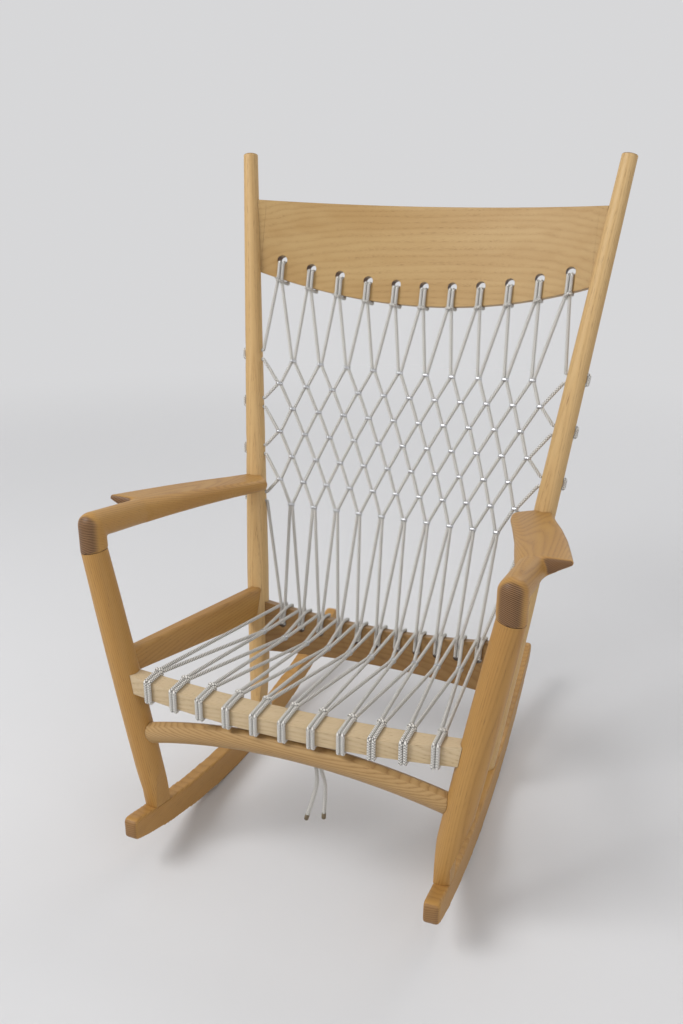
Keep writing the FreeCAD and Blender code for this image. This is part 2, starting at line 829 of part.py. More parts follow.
def make_stretcher(leg_scribe):
    """The arched stretcher, an oval bow that leans forward, and its mortise for the right leg."""
    end = on_leg(val("stretcher_end_height"))
    lean = val("stretcher_lean")
    half = end.x - leg_radius(end.z)
    wide, tall = size.stretcher_depth / 2, size.stretcher_tall / 2
    side = wide * STRETCHER_WIDE_SHARES[0]
    leaning, level = math.sin(math.radians(lean)), math.cos(math.radians(lean))
    under_wraps = size.front_rail_bottom - size.cord_diameter - size.cord_lay * 2
    rise = (under_wraps - tall * level - side * leaning - size.stretcher_end_height) / level
    radius = bend(fixed(half), rise)
    body = doc.addObject("PartDesign::Body", "stretcher_bow")
    sketch = new_sketch(body, "stretcher_section", "YZ_Plane")
    quarter = [(wide * out, tall * up) for out, up in zip(STRETCHER_WIDE_SHARES, STRETCHER_TALL_SHARES)]
    outline(sketch, [(out, radius - up) for out, up in quarter]
            + [(out, radius + up) for out, up in reversed(quarter)]
            + [(-out, radius + up) for out, up in quarter]
            + [(-out, radius - up) for out, up in reversed(quarter)])
    bow = body.newObject("PartDesign::Revolution", "stretcher_bending")
    bow.Profile = sketch
    bow.ReferenceAxis = (sketch, ["H_Axis"])
    bow.Midplane = True
    bow.Angle = 2 * math.degrees(math.asin(end.x / float(radius)))
    drop = float(radius) - float(rise)
    turn = Rotation(Vector(1, 0, 0), lean)
    centre = Vector(0, end.y, end.z) - turn.multVec(Vector(0, 0, drop))
    body.Placement = Placement(centre, turn)
    left_scribe = mirrored("stretcher_left_scribe", leg_scribe)
    coped = boolean("Cut", "stretcher_coped", body,
                    gather("stretcher_scribes", [leg_scribe, left_scribe]))
    slope = math.asin(half / float(radius))
    inward = turn.multVec(Vector(-math.cos(slope), 0, math.sin(slope)))
    start = end + inward * (leg_radius(end.z) - val("tenon_length"))
    length = size.tenon_length + size.tenon_shoulder * 2
    right = pin("stretcher_pin", size.tenon_thickness * 0.8, length, aim(start, inward))
    hole_start = start - inward * val("glue_gap")
    mortise = pin("stretcher_bore", size.tenon_thickness * 0.8 + size.glue_gap, length,
                  aim(hole_start, inward))
    left = mirrored("stretcher_left_pin", right)
    return boolean("Fuse", "front_stretcher", coped, gather("stretcher_pins", [right, left])), mortise


# Arms

PADDLE_SHARES = (0.0, 0.18, 0.385, 0.615, 0.80, 0.855, 0.90, 0.975)
INNER_SHARES = (0.25, 0.40, 0.55, 0.78, 0.985, 1.0, 0.80, 0.42)
OUTER_SHARES = (1.0, 0.895, 0.772, 0.583, 0.388, 0.345, 0.315, 0.25)
INNER_DEPTH_SHARES = (1.0, 0.71, 0.48, 0.24, 0.10, 0.07, 0.05, 0.0)
LIP_DEPTH_SHARES = (0.0, 0.08, 0.17, 0.33, 0.58, 0.67, 0.75, 0.83)


def arm_place():
    """The right arm's frame: its origin where the elbow's two axes meet, Y along the bar."""
    corner = LEG_TOP + Vector(0, 0, val("arm_elbow_rise"))
    return Placement(corner, Rotation(Vector(1, 0, 0), -val("arm_slope")))


def arm_post_crossing():
    """Where the post's axis passes the arm's rear end, in the arm's frame."""
    inverse = arm_place().inverse()
    low, high = inverse.multVec(POST_FOOT), inverse.multVec(POST_TOP)
    level = val("arm_bar_radius") - val("arm_rear_thickness") / 2
    return low + (high - low) * ((level - low.z) / (high.z - low.z))


def paddle_section(along, inner, outer, inner_depth, outer_depth, top):
    """One section of the paddle: flat above, slanted below, and a rim of small flats at both edges."""
    radii = (inner_depth / 2, outer_depth / 2)
    centres = (Vector(inner + radii[0], along, top - radii[0]), Vector(outer - radii[1], along, top - radii[1]))
    slope = math.atan2(radii[0] - radii[1], centres[1].x - centres[0].x)
    high, low = math.pi / 2, 2 * slope - math.pi / 2
    corners = []
    for side, first, last in ((1, high, low), (0, low, high - 2 * math.pi)):
        for number in range(RIM_FLATS + 1):
            angle = first + (last - first) * number / RIM_FLATS
            corners.append(centres[side] + Vector(math.cos(angle), 0, math.sin(angle)) * radii[side])
    return Part.makePolygon(corners + corners[:1])


def elbow_waste(stub_axis):
    """The wood taken off the elbow's outer corner, between the bar's top line and the stub's front line."""
    radius, ease = val("arm_bar_radius"), val("arm_elbow_radius")
    turn = math.atan2(stub_axis.y, stub_axis.z)
    opening = math.pi / 2 - turn
    setback = ease / math.tan(opening / 2)
    corner = Vector(0, -radius / math.cos(turn) + radius * math.tan(turn), radius)
    along_top = corner + Vector(0, setback, 0)
    along_front = corner - Vector(0, math.sin(turn), math.cos(turn)) * setback
    centre = along_top - Vector(0, 0, ease)
    inwards = (centre - corner).normalize()
    nearest = centre - inwards * ease
    beyond = corner - inwards * radius
    side = Part.Wire([
        Part.makeLine(beyond, along_top + Vector(0, 0, radius)),
        Part.makeLine(along_top + Vector(0, 0, radius), along_top),
        Part.Arc(along_top, nearest, along_front).toShape(),
        Part.makeLine(along_front, along_front - Vector(0, radius, 0)),
        Part.makeLine(along_front - Vector(0, radius, 0), beyond),
    ])
    waste = Part.Face(side).extrude(Vector(radius * 4, 0, 0))
    waste.translate(Vector(-radius * 2, 0, 0))
    return waste


def make_arm(post_scribe):
    """The right arm: an elbow on the leg, a round bar and a paddle that is scribed to the post."""
    place = arm_place()
    radius = val("arm_bar_radius")
    bar_length = val("arm_bar_length")
    post = arm_post_crossing()
    down = place.inverse().multVec(LEG_TOP)
    stub = down.Length
    stub_axis = Vector(down) * (-1 / stub)
    reach = radius * 2
    bar = Part.makeCylinder(radius, bar_length + radius, Vector(0, 0, 0), Vector(0, 1, 0))
    ahead = Part.makeCylinder(radius, reach, Vector(0, -reach, 0), Vector(0, 1, 0))
    post_part = Part.makeCylinder(radius, stub + radius, down - stub_axis * radius, stub_axis)
    above = Part.makeCylinder(radius, reach, Vector(0, 0, 0), stub_axis)
    crown = above.common(ahead)
    elbow = bar.fuse([post_part, crown]).removeSplitter().cut(elbow_waste(stub_axis))
    normal = (LEG_TOP - LEG_FOOT).normalize()
    local_normal = place.Rotation.inverted().multVec(normal)
    seat = Part.makeCylinder(reach, reach, down - local_normal * reach + local_normal * val("scribe_gap"),
                             local_normal)
    elbow = elbow.cut(seat)
    sections = []
    span = post.y - bar_length
    for number, share in enumerate(PADDLE_SHARES):
        line = post.x * (bar_length + span * share) / post.y
        rear = val("arm_rear_thickness")
        inner_depth = rear + (2 * radius - rear) * INNER_DEPTH_SHARES[number]
        lip = val("arm_lip_thickness")
        outer_depth = lip + (rear - lip) * LIP_DEPTH_SHARES[number]
        sections.append(paddle_section(
            bar_length + span * share,
            line - val("arm_inner_flare") * INNER_SHARES[number],
            line + val("arm_outer_flare") * OUTER_SHARES[number],
            inner_depth, outer_depth, radius))
    paddle = Part.makeLoft(sections, True, True)
    whole = elbow.fuse(paddle)
    blank = formed("arm_blank", whole)
    blank.Placement = place
    coped = boolean("Cut", "arm_coped", blank, post_scribe)
    grow = size.glue_gap
    bore = pin("arm_leg_bore", size.top_tenon_radius + grow, size.top_tenon_length + grow * 2,
               aim(LEG_TOP - normal * val("glue_gap"), normal))
    dowel_hole = arm_dowel("arm_dowel_bore", grow)
    return boolean("Cut", "arm_right", coped, gather("arm_bores", [bore, dowel_hole]))


def arm_dowel(name, grow):
    """The hidden dowel between the arm and the post, or its bore when grown."""
    place = arm_place()
    post = arm_post_crossing()
    height = place.multVec(post).z
    front = post.y - post_radius(height)
    length = size.arm_dowel_length + grow * 2
    start = Vector(post.x, front - float(length) / 2, post.z)
    lying = Rotation(Vector(1, 0, 0), -90)
    return pin(name, size.arm_dowel_radius + grow, length, place.multiply(Placement(start, lying)))


# Cords

CORD = val("cord_diameter")
BESIDE = (CORD + val("cord_gap")) / 2
LAID = CORD / 2 + val("cord_lay")
ACROSS = CORD + val("cord_crossing")


def hex_tube(points, flat, radius=CORD / 2):
    """A cord as one faceted tube along its route, with its bends mitred, flats facing flat."""
    heading_now = (points[1] - points[0]).normalize()
    side = (flat - heading_now * flat.dot(heading_now)).normalize()
    upward = heading_now.cross(side)
    ring = []
    for corner in range(SIDES):
        angle = math.pi / SIDES * (2 * corner + 1)
        ring.append(points[0] + side * (radius * math.cos(angle)) + upward * (radius * math.sin(angle)))
    rings = [ring]
    for number in range(1, len(points)):
        along = (points[number] - points[number - 1]).normalize()
        if number < len(points) - 1:
            onward = (points[number + 1] - points[number]).normalize()
            normal = along + onward
        else:
            normal = along
        ring = [corner + along * ((points[number] - corner).dot(normal) / along.dot(normal))
                for corner in rings[-1]]
        rings.append(ring)
    faces = [Part.Face(Part.makePolygon(rings[0] + rings[0][:1]))]
    for before, after in zip(rings, rings[1:]):
        for corner in range(SIDES):
            following = (corner + 1) % SIDES
            quad = [before[corner], before[following], after[following], after[corner], before[corner]]
            faces.append(Part.Face(Part.makePolygon(quad)))
    faces.append(Part.Face(Part.makePolygon(rings[-1] + rings[-1][:1])))
    solid = Part.Solid(Part.Shell(faces))
    if solid.Volume < 0:
        solid.reverse()
    return solid


def row_value(name, row):
    """A value of the back net at one of its rows, from its upper row to its lower row."""
    share = (row - 1) / (ROWS - 1)
    return val(f"net_top_{name}") * (1 - share) + val(f"net_bottom_{name}") * share


def row_point(row, across):
    """A point of one row of the back net."""
    part = (across / val("net_half_width")) ** 2
    return Vector(across, row_value("back", row) - row_value("wing", row) * part,
                  row_value("height", row) + row_value("lift", row) * part)


def row_tangent(row, across):
    """The direction along one row of the back net."""
    step = val("cord_diameter")
    return (row_point(row, across + step) - row_point(row, across - step)).normalize()


def net_lean():
    """The direction up the back net."""
    return (row_point(1, 0) - row_point(ROWS, 0)).normalize()


def seat_point(across):
    """A point of the seat's row of bands."""
    part = (across / val("net_half_width")) ** 2
    return Vector(across, val("seat_band_back") - val("seat_band_wing") * part,
                  val("seat_band_height") + val("seat_band_lift") * part)


def post_hole_points(row, side):
    """The centres of a post's two holes at a row, upper first, on the side of the given sign."""
    level = row_value("height", row) + row_value("lift", row)
    points = []
    for step in (1, -1):
        point = on_post(level + step * val("post_hole_spread") / 2)
        points.append(Vector(point.x * side, point.y, point.z))
    return points


def post_lacing(row, side):
    """The way of a cord from inside the post out, down its outer side and back in."""
    upper, lower = post_hole_points(row, side)
    route = []
    for point, order in ((upper, (-1, 1)), (lower, (1, -1))):
        clear = post_radius(point.z) + LAID
        for step in order:
            route.append(point + Vector(side * step * clear, 0, 0))
    return route


def leg_route(cord, side):
    """The way of one half of a cord, from inside the rear seat rail up to the top rail's back."""
    across, rise = (float(part) for part in rear_hole(cord))
    beside = across + side * BESIDE
    face = REAR_RAIL.beside(beside, LAID)
    route = [REAR_RAIL.point(beside, 0, rise), REAR_RAIL.point(beside, -face, rise),
             REAR_RAIL.point(beside, -face, REAR_RAIL.edge_above(beside))]
    for row in range(ROWS, 0, -1):
        pitch = row_value("pitch", row)
        if row % 2:
            place = cord + side / 2
            if place < 0 or place > CORDS - 1:
                route.extend(reversed(post_lacing(row, side)))
                continue
            middle = place_of(place, pitch)
            route.append(row_point(row, middle) - row_tangent(row, middle) * (side * BESIDE))
        else:
            middle = place_of(cord, pitch)
            route.append(row_point(row, middle) + row_tangent(row, middle) * (side * BESIDE))
    across, rise = (float(part) for part in top_hole(cord))
    beside = across + side * BESIDE
    wide = across + side * (BESIDE + ACROSS)
    face = TOP_RAIL.beside(beside, LAID)
    edge = TOP_RAIL.edge_below(wide) - LAID - val("cord_lay")
    hang = math.sqrt((val("top_rail_hole_radius") - LAID) ** 2 - BESIDE ** 2)
    route.append(TOP_RAIL.point(beside, -face, TOP_RAIL.edge_below(beside) - LAID))
    route.append(TOP_RAIL.point(beside, -face, rise - hang))
    route.append(TOP_RAIL.point(beside, face, rise - hang))
    route.append(TOP_RAIL.point(wide, TOP_RAIL.beside(wide, LAID), edge))
    route.append(TOP_RAIL.point(wide, -TOP_RAIL.beside(wide, LAID) - ACROSS, edge))
    return route


def back_cord(cord):
    """One doubled cord of the back, hitched round the lower edge of the top rail."""
    left, right = leg_route(cord, -1), leg_route(cord, 1)
    return left + list(reversed(right))


def seat_cord(cord, side):
    """One half of a cord of the seat, from inside the rear seat rail round the front rail."""
    across, rise = (float(part) for part in rear_hole(cord))
    half = float(REAR_RAIL.thickness) / 2
    beside = across + side * BESIDE
    spread = across + side * val("seat_pair_spread")
    edge = REAR_RAIL.edge_above(spread) + LAID
    route = [
        REAR_RAIL.point(beside, 0, rise),
        REAR_RAIL.point(beside, half + LAID + val("cord_lay"), rise),
        REAR_RAIL.point(spread, half + LAID + val("cord_lay"), edge + val("cord_lay")),
        REAR_RAIL.point(spread, -half, edge),
    ]
    place = cord + side / 2
    if 0 <= place <= CORDS - 1:
        middle = place_of(place, val("seat_band_pitch"))
        route.append(seat_point(middle) - Vector(side * BESIDE, 0, 0))
    wrap = place_of(cord, val("wrap_pitch")) + side * BESIDE
    front, rear = FRONT_RAIL.front(wrap) - LAID, FRONT_RAIL.rear(wrap) + LAID
    above, below = FRONT_RAIL.above(wrap) + LAID, FRONT_RAIL.below(wrap) - LAID
    lean = val("cord_lay")
    route += [
        Vector(wrap, rear, above), Vector(wrap, front - lean, above), Vector(wrap, front - lean, below),
        Vector(wrap, rear, below), Vector(wrap, rear, FRONT_RAIL.above(wrap) - val("wrap_end_drop")),
    ]
    return route


def rail_hitch(cord):
    """The short turn that holds the two ends of a cord behind the front rail."""
    wrap = place_of(cord, val("wrap_pitch"))
    wide = BESIDE + ACROSS
    rear = FRONT_RAIL.rear(wrap) + LAID
    high = FRONT_RAIL.above(wrap) + LAID + ACROSS + val("cord_lay")
    low = FRONT_RAIL.above(wrap) - val("hitch_drop")
    return [Vector(wrap - wide, rear, low), Vector(wrap - wide, rear, high),
            Vector(wrap + wide, rear, high), Vector(wrap + wide, rear, low)]


def band(centre, along, across):
    """One small metal band round two cords."""
    upward = Vector(along).normalize()
    side = (across - upward * across.dot(upward)).normalize()
    wall = val("band_wall")
    half_wide = BESIDE + CORD / 2 + val("band_room")
    half_deep = CORD / 2 + val("cord_lay")
    place = Placement(centre, Rotation(side, upward.cross(side), upward, "ZXY"))
    wires = []
    for grow in (wall, 0):
        wide, deep = half_wide + grow, half_deep + grow
        corners = [Vector(-wide, -deep, 0), Vector(wide, -deep, 0), Vector(wide, deep, 0), Vector(-wide, deep, 0)]
        wires.append(Part.makePolygon(corners + corners[:1]))
    ring = Part.Face(wires[0]).cut(Part.Face(wires[1])).extrude(Vector(0, 0, val("band_height")))
    ring.translate(Vector(0, 0, -val("band_height") / 2))
    ring.Placement = place.multiply(ring.Placement)
    return ring.Solids[0]


def nearest_to_itself(route):
    """Least gap between runs of one cord that aren't neighbours."""
    runs = [Part.LineSegment(*pair).toShape() for pair in zip(route, route[1:])]
    least = None
    for first in range(len(runs)):
        for second in range(first + 2, len(runs)):
            gap = runs[first].distToShape(runs[second])[0] - CORD
            least = gap if least is None else min(least, gap)
    return least


# The two free tails

TAIL_LEFT_POINTS = (
    (35.2, -311.0, 277.4), (34.2, -308.0, 250.0), (29.5, -304.0, 215.0), (24.0, -303.0, 178.0),
    (21.0, -304.5, 141.0), (18.5, -304.0, 112.0))
TAIL_RIGHT_POINTS = (
    (55.2, -311.0, 277.4), (51.5, -307.5, 253.0), (47.5, -304.0, 227.0), (51.0, -302.5, 199.0),
    (52.5, -303.0, 173.0), (47.0, -304.0, 147.0), (45.5, -303.5, 122.0))


def make_tail(name, points):
    """One free tail of the cord, faceted as the net's cords are."""
    places = [Vector(*point) for point in points]
    print(name, "length", round(sum((after - before).Length for before, after in zip(places, places[1:])), 1))
    return formed(name, hex_tube(places, Vector(1, 0, 0)))


def whipping(points):
    """The bound end of a tail, as a sleeve a wall thicker than the cord."""
    places = [Vector(*point) for point in points]
    end, back = places[-1], (places[-2] - places[-1]).normalize()
    inner = CORD / 2 + val("glue_gap") / 4
    outer = inner + val("whipping_wall")
    sleeve = hex_tube(places, Vector(1, 0, 0), outer).cut(hex_tube(places, Vector(1, 0, 0), inner))
    last = Part.makeCylinder(outer * 2, val("whipping_length"), end, back)
    return sleeve.common(last).Solids[0]


# The chair

leg_scribe = scribe("leg_scribe", LEG_FOOT, LEG_TOP, leg_stations(size.scribe_gap))
post_scribe = scribe("post_scribe", POST_FOOT, POST_TOP, post_stations(size.scribe_gap))
side_rail, side_leg_mortise, side_post_mortise = make_side_rail(leg_scribe, post_scribe)
front_rail, front_rail_mortise = FRONT_RAIL.make(leg_scribe)
stretcher, stretcher_mortise = make_stretcher(leg_scribe)
top_rail, top_mortise = make_leaning_rail(
    TOP_RAIL, [top_hole(cord) for cord in range(CORDS)], size.top_rail_hole_radius, post_scribe,
    (TOP_RAIL.edge_below(TOP_RAIL.low_half), TOP_RAIL.edge_above(TOP_RAIL.high_half)))
rear_rail, rear_mortise = make_leaning_rail(
    REAR_RAIL, [rear_hole(cord) for cord in range(CORDS)], size.rear_rail_hole_radius, post_scribe,
    (REAR_RAIL.edge_below(REAR_RAIL.low_half), REAR_RAIL.edge_above(REAR_RAIL.high_half)))

leg_back = on_leg(runner_top(val("leg_foot_back"))).y
post_back = on_post(runner_top(on_post(runner_top(POST_FOOT.y)).y)).y
rocker = make_rocker(gather("rocker_mortises", [
    foot_tenon("leg_foot_mortise", leg_back, size.glue_gap),
    foot_tenon("post_foot_mortise", post_back, size.glue_gap)]))

leg_turning = turned("leg_turning", leg_stations(fixed(0)))
leg_turning.Placement = aim(LEG_FOOT, LEG_TOP - LEG_FOOT)
leg_shoulder = fixed(on_leg(val("leg_shoulder_height")).x + leg_radius(val("leg_shoulder_height"))
                     - rocker_across(leg_back))
leg_cuts = [runner_space("leg_runner_space"), side_leg_mortise, front_rail_mortise, stretcher_mortise]
leg_cuts += shaves("leg", leg_back, size.leg_shoulder_height, size.leg_shave_height, leg_shoulder)
leg_cut = boolean("Cut", "leg_shaved", leg_turning, gather("leg_cuts", leg_cuts))
leg_pins = gather("leg_pins", [
    foot_tenon("leg_foot_pin", leg_back, fixed(0)),
    pin("leg_top_pin", size.top_tenon_radius, size.top_tenon_length + size.tenon_shoulder,
        aim(LEG_TOP - (LEG_TOP - LEG_FOOT).normalize() * val("tenon_shoulder"), LEG_TOP - LEG_FOOT))])
leg = boolean("Fuse", "front_leg_right", leg_cut, leg_pins)

post_turning = turned("post_turning", post_stations(fixed(0)))
post_turning.Placement = aim(POST_FOOT, POST_TOP - POST_FOOT)
lace_holes = []
for row in range(1, ROWS + 1, 2):
    for number, point in enumerate(post_hole_points(row, 1)):
        start = point - Vector(val("post_seat_radius") + val("overrun"), 0, 0)
        across_post = (size.post_seat_radius + size.overrun) * 2
        lace_holes.append(pin(f"lace_hole_{row}_{number}", size.post_hole_radius, across_post,
                              aim(start, Vector(1, 0, 0))))
post_shoulder = fixed(on_post(val("post_shoulder_height")).x + post_radius(val("post_shoulder_height"))
                      - rocker_across(post_back))
post_cuts = [runner_space("post_runner_space"), side_post_mortise, top_mortise, rear_mortise,
             arm_dowel("post_dowel_bore", size.glue_gap)]
post_cuts += shaves("post", post_back, size.post_shoulder_height, size.post_shoulder_height, post_shoulder)[:1]
post_cut = boolean("Cut", "post_shaved", post_turning, gather("post_cuts", post_cuts + lace_holes))
post = boolean("Fuse", "back_post_right", post_cut, foot_tenon("post_foot_pin", post_back, fixed(0)))

arm = make_arm(post_scribe)
dowel = arm_dowel("arm_dowel_right", fixed(0))

parts = {
    "back_post_right": post, "front_leg_right": leg, "rocker_right": rocker, "arm_right": arm,
    "side_rail_right": side_rail, "arm_dowel_right": dowel,
}
for name, piece in list(parts.items()):
    left = name.replace("right", "left")
    parts[left] = mirrored(left, piece)
parts["top_rail"] = top_rail
parts["rear_seat_rail"] = rear_rail
parts["front_rail"] = front_rail
parts["front_stretcher"] = stretcher

sideways = Vector(1, 0, 0)
back_routes = [back_cord(cord) for cord in range(CORDS)]
seat_routes = [seat_cord(cord, side) for cord in range(CORDS) for side in (-1, 1)]
hitch_routes = [rail_hitch(cord) for cord in range(CORDS)]
print("least gap of a back cord to itself", round(min(nearest_to_itself(route) for route in back_routes), 2))
print("least gap of a seat cord to itself", round(min(nearest_to_itself(route) for route in seat_routes), 2))
for label, routes in (("back", back_routes), ("seat", seat_routes), ("hitch", hitch_routes)):
    total = sum((after - before).Length for route in routes for before, after in zip(route, route[1:]))
    print(label, "cord length", round(total))
parts["back_cords"] = formed("back_cords", Part.makeCompound([hex_tube(route, sideways) for route in back_routes]))
parts["seat_cords"] = formed("seat_cords", Part.makeCompound([hex_tube(route, sideways) for route in seat_routes]))
parts["rail_hitches"] = formed("rail_hitches", Part.makeCompound(
    [hex_tube(route, Vector(0, 1, 0)) for route in hitch_routes]))

net_bands = []
for row in range(1, ROWS + 1):
    places = [cord + 0.5 for cord in range(CORDS - 1)] if row % 2 else list(range(CORDS))
    for place in places:
        across = place_of(place, row_value("pitch", row))
        net_bands.append(band(row_point(row, across), net_lean(), row_tangent(row, across)))
parts["net_bands"] = formed("net_bands", Part.makeCompound(net_bands))
seat_bands = []
for cord in range(CORDS - 1):
    across = place_of(cord + 0.5, val("seat_band_pitch"))
    wrap = place_of(cord + 0.5, val("wrap_pitch"))
    forward = Vector(wrap, FRONT_RAIL.rear(wrap) + LAID, FRONT_RAIL.above(wrap) + LAID) - seat_point(across)
    rear = REAR_RAIL.point(place_of(cord + 0.5, val("rear_rail_hole_pitch")),
                           -float(REAR_RAIL.thickness) / 2, REAR_RAIL.edge_above(across) + LAID)
    back = seat_point(across) - rear
    seat_bands.append(band(seat_point(across), forward.normalize() + back.normalize(), sideways))
parts["seat_bands"] = formed("seat_bands", Part.makeCompound(seat_bands))
parts["cord_tail_left"] = make_tail("cord_tail_left", TAIL_LEFT_POINTS)
parts["cord_tail_right"] = make_tail("cord_tail_right", TAIL_RIGHT_POINTS)
parts["tail_whippings"] = formed("tail_whippings", Part.makeCompound(
    [whipping(points) for points in (TAIL_LEFT_POINTS, TAIL_RIGHT_POINTS)]))

doc.recompute()

for item in doc.Objects:
    if "Invalid" in item.State or "Error" in item.State:
        raise RuntimeError(f"{item.Name} failed: {item.State}")
for name, piece in parts.items():
    piece.Label = name
    if piece.Shape.isNull() or not piece.Shape.isValid():
        raise RuntimeError(f"{name} has no valid shape")
os.makedirs("parts", exist_ok=True)
for name, piece in sorted(parts.items()):
    piece.Shape.exportStep(f"parts/{name}.step")
    print(name, len(piece.Shape.Solids), round(piece.Shape.Volume))
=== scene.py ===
"""Looks of a rocking chair in oiled hardwood, with a net of pale cord for its back and seat.

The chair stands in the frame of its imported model: metres, +Z up, its front towards -Y. Posts, legs,
rails and dowels keep their own solids and get their finishes here. Runners and arms are carved from
theirs. The cords are drawn again as round braided cord along the centre lines of the faceted ones,
and the bands as rings of bent metal.
"""

import logging
import math
from collections import defaultdict
from dataclasses import dataclass
from enum import Enum
from typing import Hashable, Iterable, Optional, Sequence, Union

import bpy
import numpy
from mathutils import Matrix, Vector


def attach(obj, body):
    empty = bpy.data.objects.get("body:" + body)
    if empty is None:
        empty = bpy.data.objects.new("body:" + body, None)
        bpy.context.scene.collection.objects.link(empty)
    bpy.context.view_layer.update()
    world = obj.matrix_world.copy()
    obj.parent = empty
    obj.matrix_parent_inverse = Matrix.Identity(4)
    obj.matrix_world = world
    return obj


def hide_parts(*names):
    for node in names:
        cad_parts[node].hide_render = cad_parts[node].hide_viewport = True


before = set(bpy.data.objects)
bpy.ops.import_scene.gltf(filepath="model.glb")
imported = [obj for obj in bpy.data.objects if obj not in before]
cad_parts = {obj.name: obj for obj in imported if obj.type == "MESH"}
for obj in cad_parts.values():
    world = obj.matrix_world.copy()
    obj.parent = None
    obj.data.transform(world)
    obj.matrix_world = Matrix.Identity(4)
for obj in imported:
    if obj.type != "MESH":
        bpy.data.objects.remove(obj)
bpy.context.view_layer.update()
LOG = logging.getLogger("chair")

Colour = tuple[float, float, float, float]
Place = tuple[float, float, float]
Feed = Union[bpy.types.NodeSocket, float, Sequence[float]]

WELD = 0.00002  # metres within which doubled corners of a mesh count as one
CREASE = math.radians(35.0)  # the angle above which an edge stays sharp
LAY = "lay"  # the UV map that follows a cord: its share of the way round, and metres along it
BAND_NODES = ("net_bands", "seat_bands")


class Side(Enum):
    """The two sides of the chair, seen by someone who faces it."""

    LEFT = -1
    RIGHT = 1

    @property
    def word(self) -> str:
        """The side as the names of the pieces have it."""
        return self.name.lower()

    def mirrored(self, place: Place) -> Vector:
        """A place of the right half, on this side.

        Args:
            place: The place on the right half of the chair, in metres.

        Returns:
            The same place on this side.
        """
        return Vector((place[0] * self.value, place[1], place[2]))


class Slot(Enum):
    """The record's material slots."""

    WOOD = "wood"
    CORD = "cord"
    BAND = "band"
    WHIPPING = "whipping"


class Tone(Enum):
    """The wood's colours: its pale ground, its honey patches and the dark line of a year's ring."""

    BLOND = ((0.600, 0.470, 0.300, 1.0), (0.530, 0.400, 0.235, 1.0), (0.400, 0.270, 0.140, 1.0))
    PALE = ((0.630, 0.428, 0.200, 1.0), (0.540, 0.340, 0.140, 1.0), (0.380, 0.210, 0.078, 1.0))
    GOLD = ((0.500, 0.333, 0.146, 1.0), (0.430, 0.264, 0.102, 1.0), (0.330, 0.178, 0.062, 1.0))
    TAN = ((0.470, 0.302, 0.132, 1.0), (0.395, 0.236, 0.094, 1.0), (0.240, 0.122, 0.044, 1.0))
    HONEY = ((0.480, 0.270, 0.082, 1.0), (0.400, 0.206, 0.056, 1.0), (0.270, 0.118, 0.031, 1.0))
    # Honey wood darkened as painted shade, for a rail that lies in shade under the seat.
    HONEY_IN_SHADE = ((0.330, 0.196, 0.078, 1.0), (0.270, 0.150, 0.054, 1.0), (0.170, 0.085, 0.028, 1.0))


# Objects


def linked(name: str, data: bpy.types.ID) -> bpy.types.Object:
    """Args:
        name: The object's name.
        data: The mesh, lamp or camera that it shows.

    Returns:
        A new object in the scene.
    """
    made = bpy.data.objects.new(name, data)
    bpy.context.scene.collection.objects.link(made)
    return made


def smooth(mesh: bpy.types.Mesh) -> None:
    """Shade a mesh as one smooth skin.

    Args:
        mesh: The mesh.
    """
    for face in mesh.polygons:
        face.use_smooth = True


def skin(name: str, corners: Sequence[Vector], faces: Sequence[Sequence[int]]) -> bpy.types.Object:
    """Args:
        name: The object's name.
        corners: Its corners.
        faces: The numbers of each face's corners.

    Returns:
        A new smooth object in the scene.
    """
    mesh = bpy.data.meshes.new(name)
    mesh.from_pydata(corners, [], faces)
    smooth(mesh)
    return linked(name, mesh)


def stand_in(piece: bpy.types.Object, node: str,
             material: bpy.types.Material) -> bpy.types.Object:
    """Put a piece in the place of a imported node.

    Args:
        piece: The piece.
        node: The node that it replaces.
        material: Its finish.

    Returns:
        The piece.
    """
    piece.data.materials.append(material)
    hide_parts(node)
    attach(piece, "root")
    return piece


def clusters(groups: Iterable[Iterable[Hashable]]) -> list[list[Hashable]]:
    """Join groups that share a member.

    Args:
        groups: The groups.

    Returns:
        The members of each cluster of joined groups.
    """
    leader: dict[Hashable, Hashable] = {}

    def lead(member: Hashable) -> Hashable:
        """The member that stands for the whole cluster of this one."""
        while leader.setdefault(member, member) != member:
            member = leader[member]
        return member

    for first, *others in groups:
        lead(first)
        for other in others:
            leader[lead(other)] = lead(first)
    members = defaultdict(list)
    for member in leader:
        members[lead(member)].append(member)
    return list(members.values())


# Finishes


